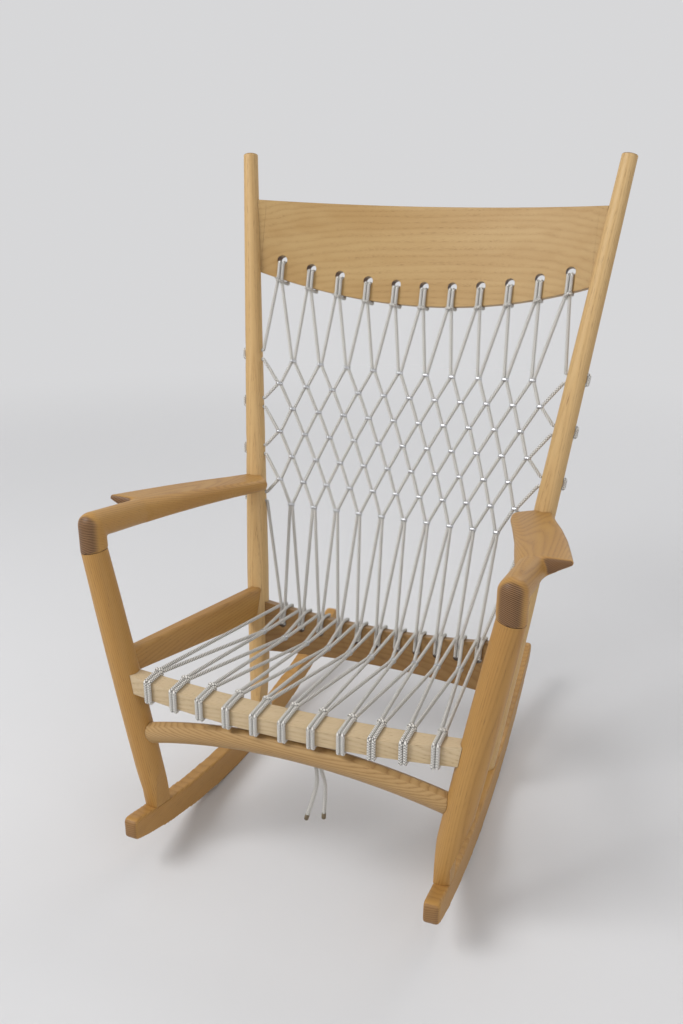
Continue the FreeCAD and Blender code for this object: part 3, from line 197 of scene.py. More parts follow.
class Shader:
    """The nodes of one material, added one by one and joined by their sockets."""

    def __init__(self, name: str) -> None:
        """Args:
            name: The material's name.
        """
        self.material = bpy.data.materials.new(name)
        self.material.use_nodes = True
        self.tree = self.material.node_tree
        self.tree.nodes.clear()

    def node(self, kind: str, inputs: Optional[dict] = None, **settings: object) -> bpy.types.Node:
        """One shader node.

        Args:
            kind: The node's type, without its ShaderNode prefix.
            inputs: Sockets or values, by the name or number of the input that each feeds.
            settings: Properties of the node.

        Returns:
            The node.
        """
        made = self.tree.nodes.new(f"ShaderNode{kind}")
        for name, value in settings.items():
            setattr(made, name, value)
        for key, value in (inputs or {}).items():
            self.feed(made.inputs[key], value)
        return made

    def feed(self, socket: bpy.types.NodeSocket, value: Feed) -> None:
        """Join a socket to another one, or give it a value.

        Args:
            socket: The input.
            value: The output that feeds it, or its value.
        """
        if isinstance(value, bpy.types.NodeSocket):
            self.tree.links.new(value, socket)
        else:
            socket.default_value = value

    def sum(self, operation: str, *values: Feed) -> bpy.types.NodeSocket:
        """One step of arithmetic.

        Args:
            operation: The Math node's operation.
            values: What it works on.

        Returns:
            The socket with its result.
        """
        return self.node("Math", dict(enumerate(values)), operation=operation).outputs[0]

    def vector(self, operation: str, inputs: dict) -> bpy.types.Node:
        """One step of arithmetic on vectors.

        Args:
            operation: The Vector Math node's operation.
            inputs: What it works on.

        Returns:
            The node, whose result is a vector or a value.
        """
        return self.node("VectorMath", inputs, operation=operation)

    def ramp(self, factor: Feed, stops: Sequence[tuple[float, Colour]]) -> bpy.types.NodeSocket:
        """Colours along a factor.

        Args:
            factor: Where along the ramp to look.
            stops: Places from 0 to 1 and their colours.

        Returns:
            The socket with the colour.
        """
        made = self.node("ValToRGB", {0: factor})
        points = made.color_ramp.elements
        while len(points) < len(stops):
            points.new(1.0)
        for point, (place, colour) in zip(points, stops):
            point.position, point.color = place, colour
        return made.outputs[0]

    def between(self, value: Feed, low: float, high: float) -> bpy.types.NodeSocket:
        """How far a value has come from low to high, eased at both ends.

        Args:
            value: The value.
            low: Where the result is 0.
            high: Where the result is 1.

        Returns:
            The socket with the result.
        """
        return self.node("MapRange", {"Value": value, "From Min": low, "From Max": high},
                         interpolation_type="SMOOTHSTEP").outputs[0]

    def mix(self, factor: Feed, first: Feed, second: Feed) -> bpy.types.NodeSocket:
        """A blend of two colours.

        Args:
            factor: The second colour's share.
            first: The first colour.
            second: The second colour.

        Returns:
            The socket with the blend.
        """
        return self.node("Mix", {0: factor, 6: first, 7: second}, data_type="RGBA").outputs[2]

    def noise(self, vector: Feed, detail: float = 2.0) -> bpy.types.NodeSocket:
        """Smooth noise from 0 to 1 over a vector that is already scaled.

        Args:
            vector: Where to read the noise.
            detail: How many finer layers it has.

        Returns:
            The socket with the noise.
        """
        return self.node("TexNoise", {"Vector": vector, "Scale": 1.0, "Detail": detail}).outputs[0]

    def lay(self) -> tuple[bpy.types.NodeSocket, bpy.types.NodeSocket]:
        """Returns:
            The sockets with the share of the way round a cord, and with the metres along it.
        """
        place = self.node("SeparateXYZ", {0: self.node("UVMap", uv_map=LAY).outputs[0]})
        return place.outputs[0], place.outputs[1]

    def ridge(self, turns: Feed) -> bpy.types.NodeSocket:
        """A rounded ridge for each whole turn.

        Args:
            turns: How many turns lie before this place.

        Returns:
            The socket with the ridge's height, from 0 to 1.
        """
        return self.sum("SINE", self.sum("MULTIPLY", self.sum("FRACT", turns), math.pi))

    def bump(self, height: Feed, depth: float, strength: float,
             **inputs: Feed) -> bpy.types.NodeSocket:
        """Relief that the lamps show.

        Args:
            height: Height of the relief, from 0 to 1.
            depth: What a height of 1 stands for, in metres.
            strength: How strongly it shows.
            inputs: Further inputs of the node.

        Returns:
            The socket with the surface's normal.
        """
        return self.node("Bump", {"Height": height, "Distance": depth, "Strength": strength,
                                  **inputs}).outputs[0]

    def surface(self, inputs: dict) -> bpy.types.Material:
        """Close the material with its surface.

        Args:
            inputs: What feeds the surface.

        Returns:
            The material.
        """
        principled = self.node("BsdfPrincipled", inputs)
        self.node("OutputMaterial", {"Surface": principled.outputs[0]})
        return self.material


class Scale:
    """Scales of the wood's noise, in waves to the metre: across the grain, and along it."""

    SLOW_ACROSS = 8.0
    FINE = (70.0, 3.0)
    PATCH = (26.0, 1.4)
    PORE = (1500.0, 60.0)


@dataclass(frozen=True)
class WoodFinish:
    """Oiled open-grained hardwood, with its grain along one direction and dark end grain.

    Attributes:
        name: The material's name.
        along: The direction of the grain.
        heart: A point on the heart line of the trunk that the piece was cut from.
        tone: Its colours.
        ring: Width of one year's ring, in metres.
        figure: How strongly the rings show.
        wander: How far the rings wander, in metres.
        drift: How often they wander along the grain, in waves to the metre.
        pore: Colour of the open pores.
        end_pale: The paler colour of its end grain.
        end_dark: The darker one.
        rounding: Radius to which its edges are softened, in metres.
        roughness: How dull its oiled face is.
        gloss: How much that face mirrors.
    """

    name: str
    along: Place
    heart: Place
    tone: Tone = Tone.HONEY
    ring: float = 0.0030
    figure: float = 0.40
    wander: float = 0.010
    drift: float = 1.6
    pore: Colour = (0.200, 0.100, 0.038, 1.0)
    end_pale: Colour = (0.235, 0.130, 0.066, 1.0)
    end_dark: Colour = (0.100, 0.050, 0.025, 1.0)
    rounding: float = 0.0014
    roughness: float = 0.46
    gloss: float = 0.30

    def build(self) -> bpy.types.Material:
        """Returns:
            The wood of one piece.
        """
        shader = Shader(self.name)
        axis = Vector(self.along).normalized()
        here = shader.node("TexCoord").outputs["Object"]
        from_heart = shader.vector("SUBTRACT", {0: here, 1: self.heart}).outputs[0]
        height = shader.vector("DOT_PRODUCT", {0: from_heart, 1: axis}).outputs[1]
        upward = shader.vector("SCALE", {0: axis, 3: height}).outputs[0]
        across = shader.vector("SUBTRACT", {0: from_heart, 1: upward}).outputs[0]
        distance = shader.vector("LENGTH", {0: across}).outputs[1]

        pale, honey, line = self.tone.value
        slow = shader.noise(
            self.stretched(shader, across, upward, Scale.SLOW_ACROSS, self.drift), 1.0)
        fine = shader.noise(self.stretched(shader, across, upward, *Scale.FINE), 2.0)
        drift = shader.sum("MULTIPLY", shader.sum("SUBTRACT", slow, 0.5), self.wander * 2)
        ripple = shader.sum("MULTIPLY", shader.sum("SUBTRACT", fine, 0.5), self.ring * 0.9)
        depth = shader.sum("ADD", shader.sum("ADD", distance, drift), ripple)
        year = shader.sum("FRACT", shader.sum("DIVIDE", depth, self.ring))
        grain = shader.ramp(year, (
            (0.0, line), (0.22, honey), (0.50, pale), (0.74, pale), (0.92, honey), (1.0, line)))
        patches = shader.noise(self.stretched(shader, across, upward, *Scale.PATCH), 3.0)
        plain = shader.mix(shader.between(patches, 0.30, 0.72), pale, honey)
        board = shader.mix(self.figure, plain, grain)

        pits = shader.noise(self.stretched(shader, across, upward, *Scale.PORE), 1.0)
        early = shader.sum("ADD", shader.between(year, 0.55, 0.0), 0.25)
        pored = shader.sum("MULTIPLY", shader.between(pits, 0.55, 0.72), early)
        face = shader.mix(shader.sum("MULTIPLY", pored, 0.55), board, self.pore)

        soft = shader.node("Bevel", {"Radius": self.rounding}, samples=4).outputs[0]
        square = shader.vector("DOT_PRODUCT", {0: soft, 1: axis}).outputs[1]
        cut = shader.between(shader.sum("ABSOLUTE", square), 0.44, 0.86)
        end = shader.mix(shader.between(year, 0.15, 0.75), self.end_dark, self.end_pale)
        colour = shader.mix(cut, face, end)
        relief = shader.sum("SUBTRACT", 1.0, pored)
        return shader.surface({
            "Base Color": colour, "Roughness": self.roughness, "Specular IOR Level": self.gloss,
            "Normal": shader.bump(relief, 0.00012, 0.6, Normal=soft)})

    @staticmethod
    def stretched(shader: Shader, across: Feed, upward: Feed, wide: float,
                  long: float) -> bpy.types.NodeSocket:
        """A place for noise that is drawn out along the grain.

        Args:
            shader: The shader that it is for.
            across: The part of the place that lies across the grain.
            upward: The part of it that lies along the grain.
            wide: Its scale across the grain.
            long: Its scale along the grain.

        Returns:
            The socket with the scaled place.
        """
        first = shader.vector("SCALE", {0: across, 3: wide}).outputs[0]
        second = shader.vector("SCALE", {0: upward, 3: long}).outputs[0]
        return shader.vector("ADD", {0: first, 1: second}).outputs[0]


@dataclass(frozen=True)
class BraidFinish:
    """Pale braided cord, its plaits laid out along the cord's own length.

    Attributes:
        name: The material's name.
        strands: Plaits that cross round the cord in each direction.
        pitch: Length of one turn of a plait, in metres.
        depth: Depth of the gaps between them, in metres.
        thread: The plaits' colour.
        groove_shade: Painted shade in the grooves between them.
    """

    name: str = "braided_cord"
    strands: int = 3
    pitch: float = 0.0123
    depth: float = 0.0006
    thread: Colour = (0.840, 0.815, 0.765, 1.0)
    groove_shade: Colour = (0.035, 0.031, 0.025, 1.0)

    def build(self) -> bpy.types.Material:
        """Returns:
            The cord's material.
        """
        shader = Shader(self.name)
        turned, metres = shader.lay()
        round_it = shader.sum("MULTIPLY", turned, float(self.strands))
        length = shader.sum("DIVIDE", metres, self.pitch / self.strands)
        first = shader.sum("ADD", round_it, length)
        second = shader.sum("SUBTRACT", round_it, length)
        cells = shader.sum("ADD", shader.sum("FLOOR", first), shader.sum("FLOOR", second))
        over = shader.sum("ABSOLUTE", shader.sum("MODULO", cells, 2.0))
        under = shader.sum("SUBTRACT", 1.0, over)
        relief = shader.sum("ADD", shader.sum("MULTIPLY", shader.ridge(first), over),
                            shader.sum("MULTIPLY", shader.ridge(second), under))
        # Painted shade: the grooves between the plaits are coloured dark where the relief is low.
        colour = shader.mix(shader.between(relief, 0.26, 0.82), self.groove_shade, self.thread)
        return shader.surface({
            "Base Color": colour, "Roughness": 0.80, "Specular IOR Level": 0.25,
            "Sheen Weight": 0.2, "Normal": shader.bump(relief, self.depth, 0.9)})


@dataclass(frozen=True)
class BandFinish:
    """Bright metal of the small crimped bands.

    Attributes:
        name: The material's name.
        colour: The metal's colour.
        worn: Its colour where it is duller.
        marks: Scale of the dull marks, in waves to the metre.
        rounding: Radius to which its edges are softened, in metres.
    """

    name: str = "bright_band"
    colour: Colour = (0.62, 0.63, 0.65, 1.0)
    worn: Colour = (0.38, 0.385, 0.40, 1.0)
    marks: float = 420.0
    rounding: float = 0.0005

    def build(self) -> bpy.types.Material:
        """Returns:
            The metal's material.
        """
        shader = Shader(self.name)
        here = shader.node("TexCoord").outputs["Object"]
        marks = shader.noise(shader.vector("SCALE", {0: here, 3: self.marks}).outputs[0], 2.0)
        colour = shader.mix(shader.between(marks, 0.45, 0.70), self.colour, self.worn)
        soft = shader.node("Bevel", {"Radius": self.rounding}, samples=4).outputs[0]
        return shader.surface({
            "Base Color": colour, "Metallic": 1.0, "Roughness": 0.34, "Normal": soft})


@dataclass(frozen=True)
class ThreadFinish:
    """Thread wound tightly round a cord's end.

    Attributes:
        name: The material's name.
        turn: Width of one turn of the thread, in metres.
        depth: Depth of the gaps between its turns, in metres.
        thread: The thread's colour.
        groove_shade: Painted shade in the grooves between its turns.
    """

    name: str = "whipping_thread"
    turn: float = 0.0011
    depth: float = 0.0003
    thread: Colour = (0.215, 0.160, 0.090, 1.0)
    groove_shade: Colour = (0.085, 0.060, 0.032, 1.0)

    def build(self) -> bpy.types.Material:
        """Returns:
            The thread's material.
        """
        shader = Shader(self.name)
        turned, metres = shader.lay()
        relief = shader.ridge(
            shader.sum("ADD", shader.sum("DIVIDE", metres, self.turn), turned))
        # Painted shade: the grooves between the turns are coloured dark where the relief is low.
        colour = shader.mix(shader.between(relief, 0.1, 0.6), self.groove_shade, self.thread)
        return shader.surface({"Base Color": colour, "Roughness": 0.75,
                               "Normal": shader.bump(relief, self.depth, 0.8)})


@dataclass(frozen=True)
class FloorFinish:
    """Plain pale paper of the floor and backdrop, which shows one even tone away from the chair.

    Attributes:
        name: The material's name.
        colour: Its colour under the lamps.
        far: Its even tone in the distance.
        reach: Where the even tone starts and where it is full, in metres from the chair.
    """

    name: str = "pale_paper"
    colour: Colour = (0.70, 0.70, 0.71, 1.0)
    far: Colour = (0.68, 0.68, 0.69, 1.0)
    reach: tuple[float, float] = (1.3, 3.8)

    def build(self) -> bpy.types.Material:
        """Returns:
            The paper's material.
        """
        shader = Shader(self.name)
        here = shader.node("TexCoord").outputs["Object"]
        level = shader.vector("MULTIPLY", {0: here, 1: (1.0, 1.0, 0.0)}).outputs[0]
        distance = shader.vector("LENGTH", {0: level}).outputs[1]
        rays = shader.node("LightPath").outputs
        mirrored = shader.sum("MAXIMUM", rays["Is Camera Ray"], rays["Is Glossy Ray"])
        seen = shader.sum("MAXIMUM", mirrored, rays["Is Transmission Ray"])
        share = shader.sum("MULTIPLY", shader.between(distance, *self.reach), seen)
        lit = shader.node("BsdfDiffuse", {"Color": self.colour})
        even = shader.node("Emission", {"Color": self.far, "Strength": 1.0})
        both = shader.node("MixShader", {0: share, 1: lit.outputs[0], 2: even.outputs[0]})
        shader.node("OutputMaterial", {"Surface": both.outputs[0]})
        return shader.material


# Wooden pieces


def dress_node(name: str, material: bpy.types.Material) -> bpy.types.Object:
    """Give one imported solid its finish, and shade its small flats as one smooth skin.

    Args:
        name: The node's name.
        material: Its finish.

    Returns:
        The node's object.
    """
    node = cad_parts[name]
    node.data.materials.clear()
    node.data.materials.append(material)
    smooth(node.data)
    node.modifiers.new("joined_corners", "WELD").merge_threshold = WELD
    node.modifiers.new("sharp_edges", "EDGE_SPLIT").split_angle = CREASE
    LOG.info("%s: %s", name, material.name)
    return node


class Fit(Enum):
    """What a fitted joint is measured from: a straight line, or the plane across it."""

    LINE = "line"
    PLANE = "plane"


@dataclass(frozen=True)
class Joint:
    """A place where a piece is fitted to its neighbour, and keeps its crisp shape.

    Attributes:
        fit: Whether the distance is from the line, or from the plane across it.
        place: A point on the line.
        towards: The line's direction.
        crisp: Distance up to which nothing is eased, in metres.
        free: Distance from which all is eased, in metres.
    """

    fit: Fit
    place: Place
    towards: Place
    crisp: float
    free: float

    def freedom(self, places: numpy.ndarray) -> numpy.ndarray:
        """Args:
            places: Points of the piece, one to a row.

        Returns:
            How freely each may move, from 0 to 1.
        """
        towards = numpy.array(Vector(self.towards).normalized())
        offset = places - numpy.array(self.place)
        height = offset @ towards
        if self.fit is Fit.PLANE:
            distance = numpy.abs(height)
        else:
            distance = numpy.linalg.norm(offset - height[:, None] * towards, axis=1)
        share = numpy.clip((distance - self.crisp) / (self.free - self.crisp), 0.0, 1.0)
        return share * share * (3 - 2 * share)


@dataclass(frozen=True)
class Hollow:
    """A place that is sanded more than the rest, so that it runs smoothly into what is round it.

    Attributes:
        place: Its middle.
        reach: How far it reaches, in metres.
        passes: How often each point there moves towards its neighbours.
    """

    place: Place
    reach: float
    passes: int

    def weight(self, places: numpy.ndarray) -> numpy.ndarray:
        """Args:
            places: Points of the piece, one to a row.

        Returns:
            How strongly each is sanded, from 0 to 1.
        """
        distance = numpy.linalg.norm(places - numpy.array(self.place), axis=1)
        return numpy.exp(-(distance / self.reach) ** 2)


@dataclass(frozen=True)
class Knuckle:
    """The outer corner of an elbow, which is rounded like a ball.

    Attributes:
        centre: Where the axes of its two arms meet.
        ahead: The direction in which one axis runs out of the corner.
        above: The direction in which the other one does.
        radius: Radius of the two arms, in metres.
        share: How near to a true ball it comes.
    """

    centre: Place
    ahead: Place
    above: Place
    radius: float
    share: float = 0.85

    def rounded(self, places: numpy.ndarray) -> numpy.ndarray:
        """Args:
            places: Points of the piece, one to a row.

        Returns:
            Them, with those of the corner drawn in to the ball.
        """
        offset = places - numpy.array(self.centre)
        outside = numpy.minimum(offset @ numpy.array(Vector(self.ahead).normalized()),
                                offset @ numpy.array(Vector(self.above).normalized()))
        length = numpy.linalg.norm(offset, axis=1)
        beyond = (outside > 0) & (length > self.radius)
        drawn_in = 1 - self.share * (1 - self.radius / numpy.maximum(length, self.radius))
        return numpy.where(beyond[:, None], places - offset * (1 - drawn_in)[:, None], places)


@dataclass(frozen=True)
class Easing:
    """How the edges of a carved piece are eased, as with a spokeshave and sandpaper.

    Attributes:
        cell: Size of the cells that its skin is divided into, in metres.
        passes: How often each point moves towards its neighbours, and back out.
        inward: Share of the way that it moves in each pass.
        outward: Share of the way that it moves back.
    """

    cell: float
    passes: int
    inward: float = 0.50
    outward: float = 0.515

    def carve(self, node: str, name: str, material: bpy.types.Material, joints: Sequence[Joint],
              knuckles: Sequence[Knuckle] = (), hollows: Sequence[Hollow] = ()) -> bpy.types.Object:
        """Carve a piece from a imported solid, and put it in the solid's place.

        Args:
            node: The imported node.
            name: The piece's name.
            material: Its finish.
            joints: Where it keeps its crisp shape.
            knuckles: Its corners that are rounded like a ball.
            hollows: Places that are sanded more than the rest.

        Returns:
            The piece.
        """
        rough = linked(name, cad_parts[node].data.copy())
        rough.modifiers.new("joined_corners", "WELD").merge_threshold = WELD
        cells = rough.modifiers.new("cells", "REMESH")
        cells.mode, cells.voxel_size = "VOXEL", self.cell
        depsgraph = bpy.context.evaluated_depsgraph_get()
        mesh = bpy.data.meshes.new_from_object(rough.evaluated_get(depsgraph))
        rough.modifiers.clear()
        rough.data = mesh
        places = numpy.empty(len(mesh.vertices) * 3)
        mesh.vertices.foreach_get("co", places)
        places = places.reshape(-1, 3)
        ends = numpy.empty(len(mesh.edges) * 2, dtype=numpy.int64)
        mesh.edges.foreach_get("vertices", ends)
        here, there = numpy.concatenate([ends.reshape(-1, 2), ends.reshape(-1, 2)[:, ::-1]]).T
        count = numpy.bincount(here, minlength=len(places))[:, None]
        freedom = numpy.ones(len(places))
        for joint in joints:
            freedom = freedom * joint.freedom(places)

        def moved(points: numpy.ndarray, share: numpy.ndarray) -> numpy.ndarray:
            """The points, each moved by its share of the way to its neighbours' middle."""
            mean = numpy.column_stack([
                numpy.bincount(here, weights=points[there, axis], minlength=len(points))
                for axis in range(3)]) / count
            return points + (mean - points) * share[:, None]

        for knuckle in knuckles:
            places = knuckle.rounded(places)
        for hollow in hollows:
            weight = hollow.weight(places) * freedom * self.inward
            for _ in range(hollow.passes):
                places = moved(places, weight)
        for _ in range(self.passes):
            for share in (self.inward, -self.outward):
                places = moved(places, freedom * share)
        mesh.vertices.foreach_set("co", places.ravel())
        mesh.update()
        smooth(mesh)
        mesh.materials.clear()
        LOG.info("%s: %d faces", name, len(mesh.polygons))
        return stand_in(rough, node, material)


@dataclass(frozen=True)
class TurnedPair:
    """Two turned members that mirror each other.

    Attributes:
        node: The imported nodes' name, without its side.
        finish: Their finishes' name, without its side.
        foot: Foot of the right one's axis.
        top: Top of the right one's axis.
        heart: The way from the right one's foot to the heart line of its trunk.
        tone: Their colours.
        ring: Width of one year's ring, in metres.
        figure: How strongly the rings show.
        wander: How far the rings wander, in metres.
    """

    node: str
    finish: str
    foot: Place
    top: Place
    heart: Place
    tone: Tone
    ring: float
    figure: float
    wander: float

    def axis(self, side: Side) -> tuple[Vector, Vector]:
        """Args:
            side: The side of the chair.

        Returns:
            The foot and the top of the axis there.
        """
        return side.mirrored(self.foot), side.mirrored(self.top)

    def joint(self, side: Side, crisp: float, free: float) -> Joint:
        """Args:
            side: The side of the chair.
            crisp: Distance from the axis up to which nothing is eased, in metres.
            free: Distance from it from which all is eased, in metres.

        Returns:
            The joint in a piece that this member runs into.
        """
        foot, top = self.axis(side)
        return Joint(Fit.LINE, tuple(foot), tuple(top - foot), crisp, free)

    def dress(self) -> list[bpy.types.Object]:
        """Returns:
            The two members in their finish.
        """
        dressed = []
        for side in Side:
            foot, top = self.axis(side)
            finish = WoodFinish(f"{self.finish}_{side.word}", tuple(top - foot),
                                tuple(foot + side.mirrored(self.heart)), self.tone,
                                self.ring, self.figure, self.wander)
            dressed.append(dress_node(f"{self.node}_{side.word}", finish.build()))
        return dressed


POSTS = TurnedPair("back_post", "wood_post", (0.2195, 0.0175, 0.0400), (0.3403, 0.2841, 1.0710),
                   (0.0300, 0.0950, 0.0), Tone.PALE, ring=0.0024, figure=0.26, wander=0.006)
LEGS = TurnedPair("front_leg", "wood_leg", (0.2335, -0.3182, 0.0650), (0.3116, -0.3268, 0.5147),
                  (-0.0520, 0.0400, 0.0), Tone.HONEY, ring=0.0026, figure=0.28, wander=0.010)


@dataclass
class Runners:
    """The two curved runners.

    Attributes:
        toe_in: How much the runners' rear ends draw together, in degrees.
        heart: A point on the heart line of the right runner's board.
        nose: The middle of the right runner's front end.
        tail: The middle of its rear end.
        fitted: Distances from a leg's axis, in metres: none is eased up to the first, and all is
            from the second.
        easing: How their edges are eased.
    """

    toe_in: float = 1.72
    heart: Place = (0.2310, 0.0, -0.1450)
    nose: Place = (0.2420, -0.3964, 0.0820)
    tail: Place = (0.2187, 0.3964, 0.1040)
    fitted: tuple[float, float] = (0.024, 0.034)
    easing: Easing = Easing(cell=0.0024, passes=26)

    def dress(self) -> list[bpy.types.Object]:
        """Returns:
            The runners, carved and in their finish.
        """
        dressed = []
        for side in Side:
            along = (-math.sin(math.radians(self.toe_in)) * side.value, 1.0, 0.0)
            finish = WoodFinish(f"wood_runner_{side.word}", along, tuple(side.mirrored(self.heart)),
                                ring=0.0034, figure=0.30, wander=0.010,
                                end_pale=(0.300, 0.165, 0.062, 1.0),
                                end_dark=(0.230, 0.115, 0.040, 1.0))
            joints = [pair.joint(side, *self.fitted) for pair in (LEGS, POSTS)]
            ends = [Hollow(tuple(side.mirrored(self.nose)), reach=0.018, passes=26),
                    Hollow(tuple(side.mirrored(self.tail)), reach=0.020, passes=44)]
            dressed.append(self.easing.carve(f"rocker_{side.word}", f"runner_{side.word}",
                                             finish.build(), joints, hollows=ends))
        return dressed


@dataclass
class Arms:
    """The two arms, each carved from one board, and the dowels that hold them to the posts.

    Attributes:
        slope: How much an arm falls to the rear, in degrees.
        dip: How much more its grain falls, in degrees.
        heart: A point on the heart line of the right arm's board.
        elbow: Where the axes of the right arm's bar and of its stub meet.
        radius: Radius of the bar, in metres.
        bar: Length of the bar from there to the paddle's neck, in metres.
        on_leg: Distances from the leg's top, in metres: none is eased up to the first, and all is
            from the second.
        on_post: The same from the post's axis.
        easing: How their edges are eased.
    """

    slope: float = 8.9
    dip: float = 1.6
    heart: Place = (0.2950, -0.1500, 0.4350)
    elbow: Place = (0.3116, -0.3268, 0.5542)
    radius: float = 0.0202
    bar: float = 0.1240
    on_leg: tuple[float, float] = (0.001, 0.010)
    on_post: tuple[float, float] = (0.020, 0.030)
    easing: Easing = Easing(cell=0.0020, passes=70, outward=0.512)

    def dress(self) -> list[bpy.types.Object]:
        """Returns:
            The arms, carved, and the dowels, in their finish.
        """
        dressed = []
        fall, lean = math.radians(self.slope + self.dip), math.radians(self.slope)
        for side in Side:
            along = (0.02 * side.value, math.cos(fall), -math.sin(fall))
            # The arms' end grain is the wood's own darker end grain, made darker still as painted
            # shade on the elbows.
            finish = WoodFinish(f"wood_arm_{side.word}", along, tuple(side.mirrored(self.heart)),
                                ring=0.0024, figure=0.34, wander=0.005,
                                end_pale=(0.270, 0.145, 0.064, 1.0),
                                end_dark=(0.055, 0.025, 0.011, 1.0)).build()
            leg_foot, leg_top = LEGS.axis(side)
            joints = [Joint(Fit.PLANE, tuple(leg_top), tuple(leg_top - leg_foot), *self.on_leg),
                      POSTS.joint(side, *self.on_post)]
            elbow = side.mirrored(self.elbow)
            backward = Vector((0.0, math.cos(lean), -math.sin(lean)))
            upward = (leg_top - leg_foot).normalized()
            knuckle = Knuckle(tuple(elbow), tuple(-backward), tuple(upward), self.radius)
            inner = elbow + (backward - upward) * self.radius
            hollows = [Hollow(tuple(inner), reach=0.011, passes=40),
                       Hollow(tuple(elbow + backward * self.bar), reach=0.034, passes=50)]
            arm = self.easing.carve(f"arm_{side.word}", f"carved_arm_{side.word}", finish, joints,
                                    [knuckle], hollows)
            dressed += [arm, dress_node(f"arm_dowel_{side.word}", finish)]
        return dressed


@dataclass
class Boards:
    """The rails and the stretcher, which keep the shape of their solids.

    Attributes:
        top: A point on the heart line of the top rail's board.
        front: The same for the front rail.
        rear: The same for the rear seat rail.
        bow: The same for the stretcher.
        side: The same for the right side rail.
        side_run: The direction of the right side rail.
    """

    top: Place = (0.0500, 0.3650, 0.6100)
    front: Place = (0.0, -0.2500, 0.3400)
    rear: Place = (0.0, 0.1400, 0.1500)
    bow: Place = (0.0, -0.3000, 0.1700)
    side: Place = (0.3600, -0.1000, 0.2200)
    side_run: Place = (-0.0700, 0.3850, -0.0700)

    def dress(self) -> list[bpy.types.Object]:
        """Returns:
            The rails and the stretcher in their finish.
        """
        finishes = {
            "front_rail": WoodFinish("wood_front_rail", (1.0, 0.0, 0.01), self.front, Tone.BLOND,
                                     ring=0.0030, figure=0.30, wander=0.006),
            # The rear seat rail gets the honey wood darkened as painted shade, for its place in shade
            # under the seat.
            "rear_seat_rail": WoodFinish("wood_rear_rail", (1.0, 0.02, 0.0), self.rear, Tone.HONEY_IN_SHADE,
                                         ring=0.0034, figure=0.32, wander=0.010),
            "front_stretcher": WoodFinish("wood_stretcher", (1.0, 0.015, 0.0), self.bow, Tone.TAN,
                                          ring=0.0034, figure=0.55, wander=0.016, drift=2.4),
            "top_rail": WoodFinish("wood_top_rail", (1.0, 0.01, 0.035), self.top, Tone.GOLD,
                                   ring=0.0105, figure=0.17, wander=0.030, drift=0.9),
        }
        for side in Side:
            finishes[f"side_rail_{side.word}"] = WoodFinish(
                f"wood_side_rail_{side.word}", tuple(side.mirrored(self.side_run)),
                tuple(side.mirrored(self.side)), ring=0.0036, figure=0.28, wander=0.010)
        return [dress_node(name, finish.build()) for name, finish in finishes.items()]


@dataclass
class Bands:
    """The small metal bands that draw the cords together, each bent round its two cords.

    Attributes:
        reach: Half the distance between the middles of the two round ends, in metres.
        bend: Radius of the round ends, in metres.
        wall: Thickness of the metal, in metres.
        height: Height along the cords, in metres.
        crimp: How far the middle of the band is pressed in, in metres.
        lip: The share of its half height at which its full thickness starts.
        belly: How much thicker it is halfway up.
        steps: Flats round each end.
    """

    reach: float = 0.0020
    bend: float = 0.0034
    wall: float = 0.0009
    height: float = 0.0060
    crimp: float = 0.0005
    lip: float = 0.86
    belly: float = 1.25
    steps: int = 10

    def dress(self) -> list[bpy.types.Object]:
        """Returns:
            The bands of the back and of the seat.
        """
        metal = BandFinish().build()
        return [stand_in(self.rings(f"bent_{node}", self.places(node)), node, metal)
                for node in BAND_NODES]

    @staticmethod
    def places(node: str) -> list[tuple[Vector, Vector, Vector]]:
        """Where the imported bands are.

        Args:
            node: The node that holds them.

        Returns:
            The middle, the wide direction and the direction along the cords, for each band.
        """
        found = []
        for corners in clusters(FacetedCords(node).faces):
            points = numpy.array(corners)
            middle = points.mean(axis=0)
            _, directions = numpy.linalg.eigh(numpy.cov((points - middle).T))
            found.append((Vector(middle), Vector(directions[:, 2]), Vector(directions[:, 0])))
        LOG.info("%s: %d bands", node, len(found))
        return found

    def rings(self, name: str, places: Sequence[tuple[Vector, Vector, Vector]]) -> bpy.types.Object:
        """Args:
            name: The piece's name.
            places: The middle and the two directions of each band.

        Returns:
            All the bands as one piece.
        """
        outline = []
        for end in (1, -1):
            for step in range(self.steps + 1):
                angle = math.pi * step / self.steps - math.pi / 2
                outline.append((end * (self.reach + self.bend * math.cos(angle)),
                                end * self.bend * math.sin(angle),
                                end * math.cos(angle), end * math.sin(angle)))
            outline.append((0.0, end * (self.bend - self.crimp), 0.0, float(end)))
        half, lip = self.height / 2, self.height / 2 * self.lip
        profile = ((0.0, -half), (self.wall, -lip), (self.wall * self.belly, 0.0),
                   (self.wall, lip), (0.0, half))
        corners, faces = [], []
        for middle, wide, along in places:
            deep = along.cross(wide)
            start, count = len(corners), len(outline)
            for grow, level in profile:
                for right, front, out_right, out_front in outline:
                    corners.append(middle + wide * (right + out_right * grow)
                                   + deep * (front + out_front * grow) + along * level)
            for ring in range(len(profile)):
                low = start + ring * count
                high = start + (ring + 1) % len(profile) * count
                for number in range(count):
                    after = (number + 1) % count
                    faces.append((low + number, low + after, high + after, high + number))
        return skin(name, corners, faces)


# Cords


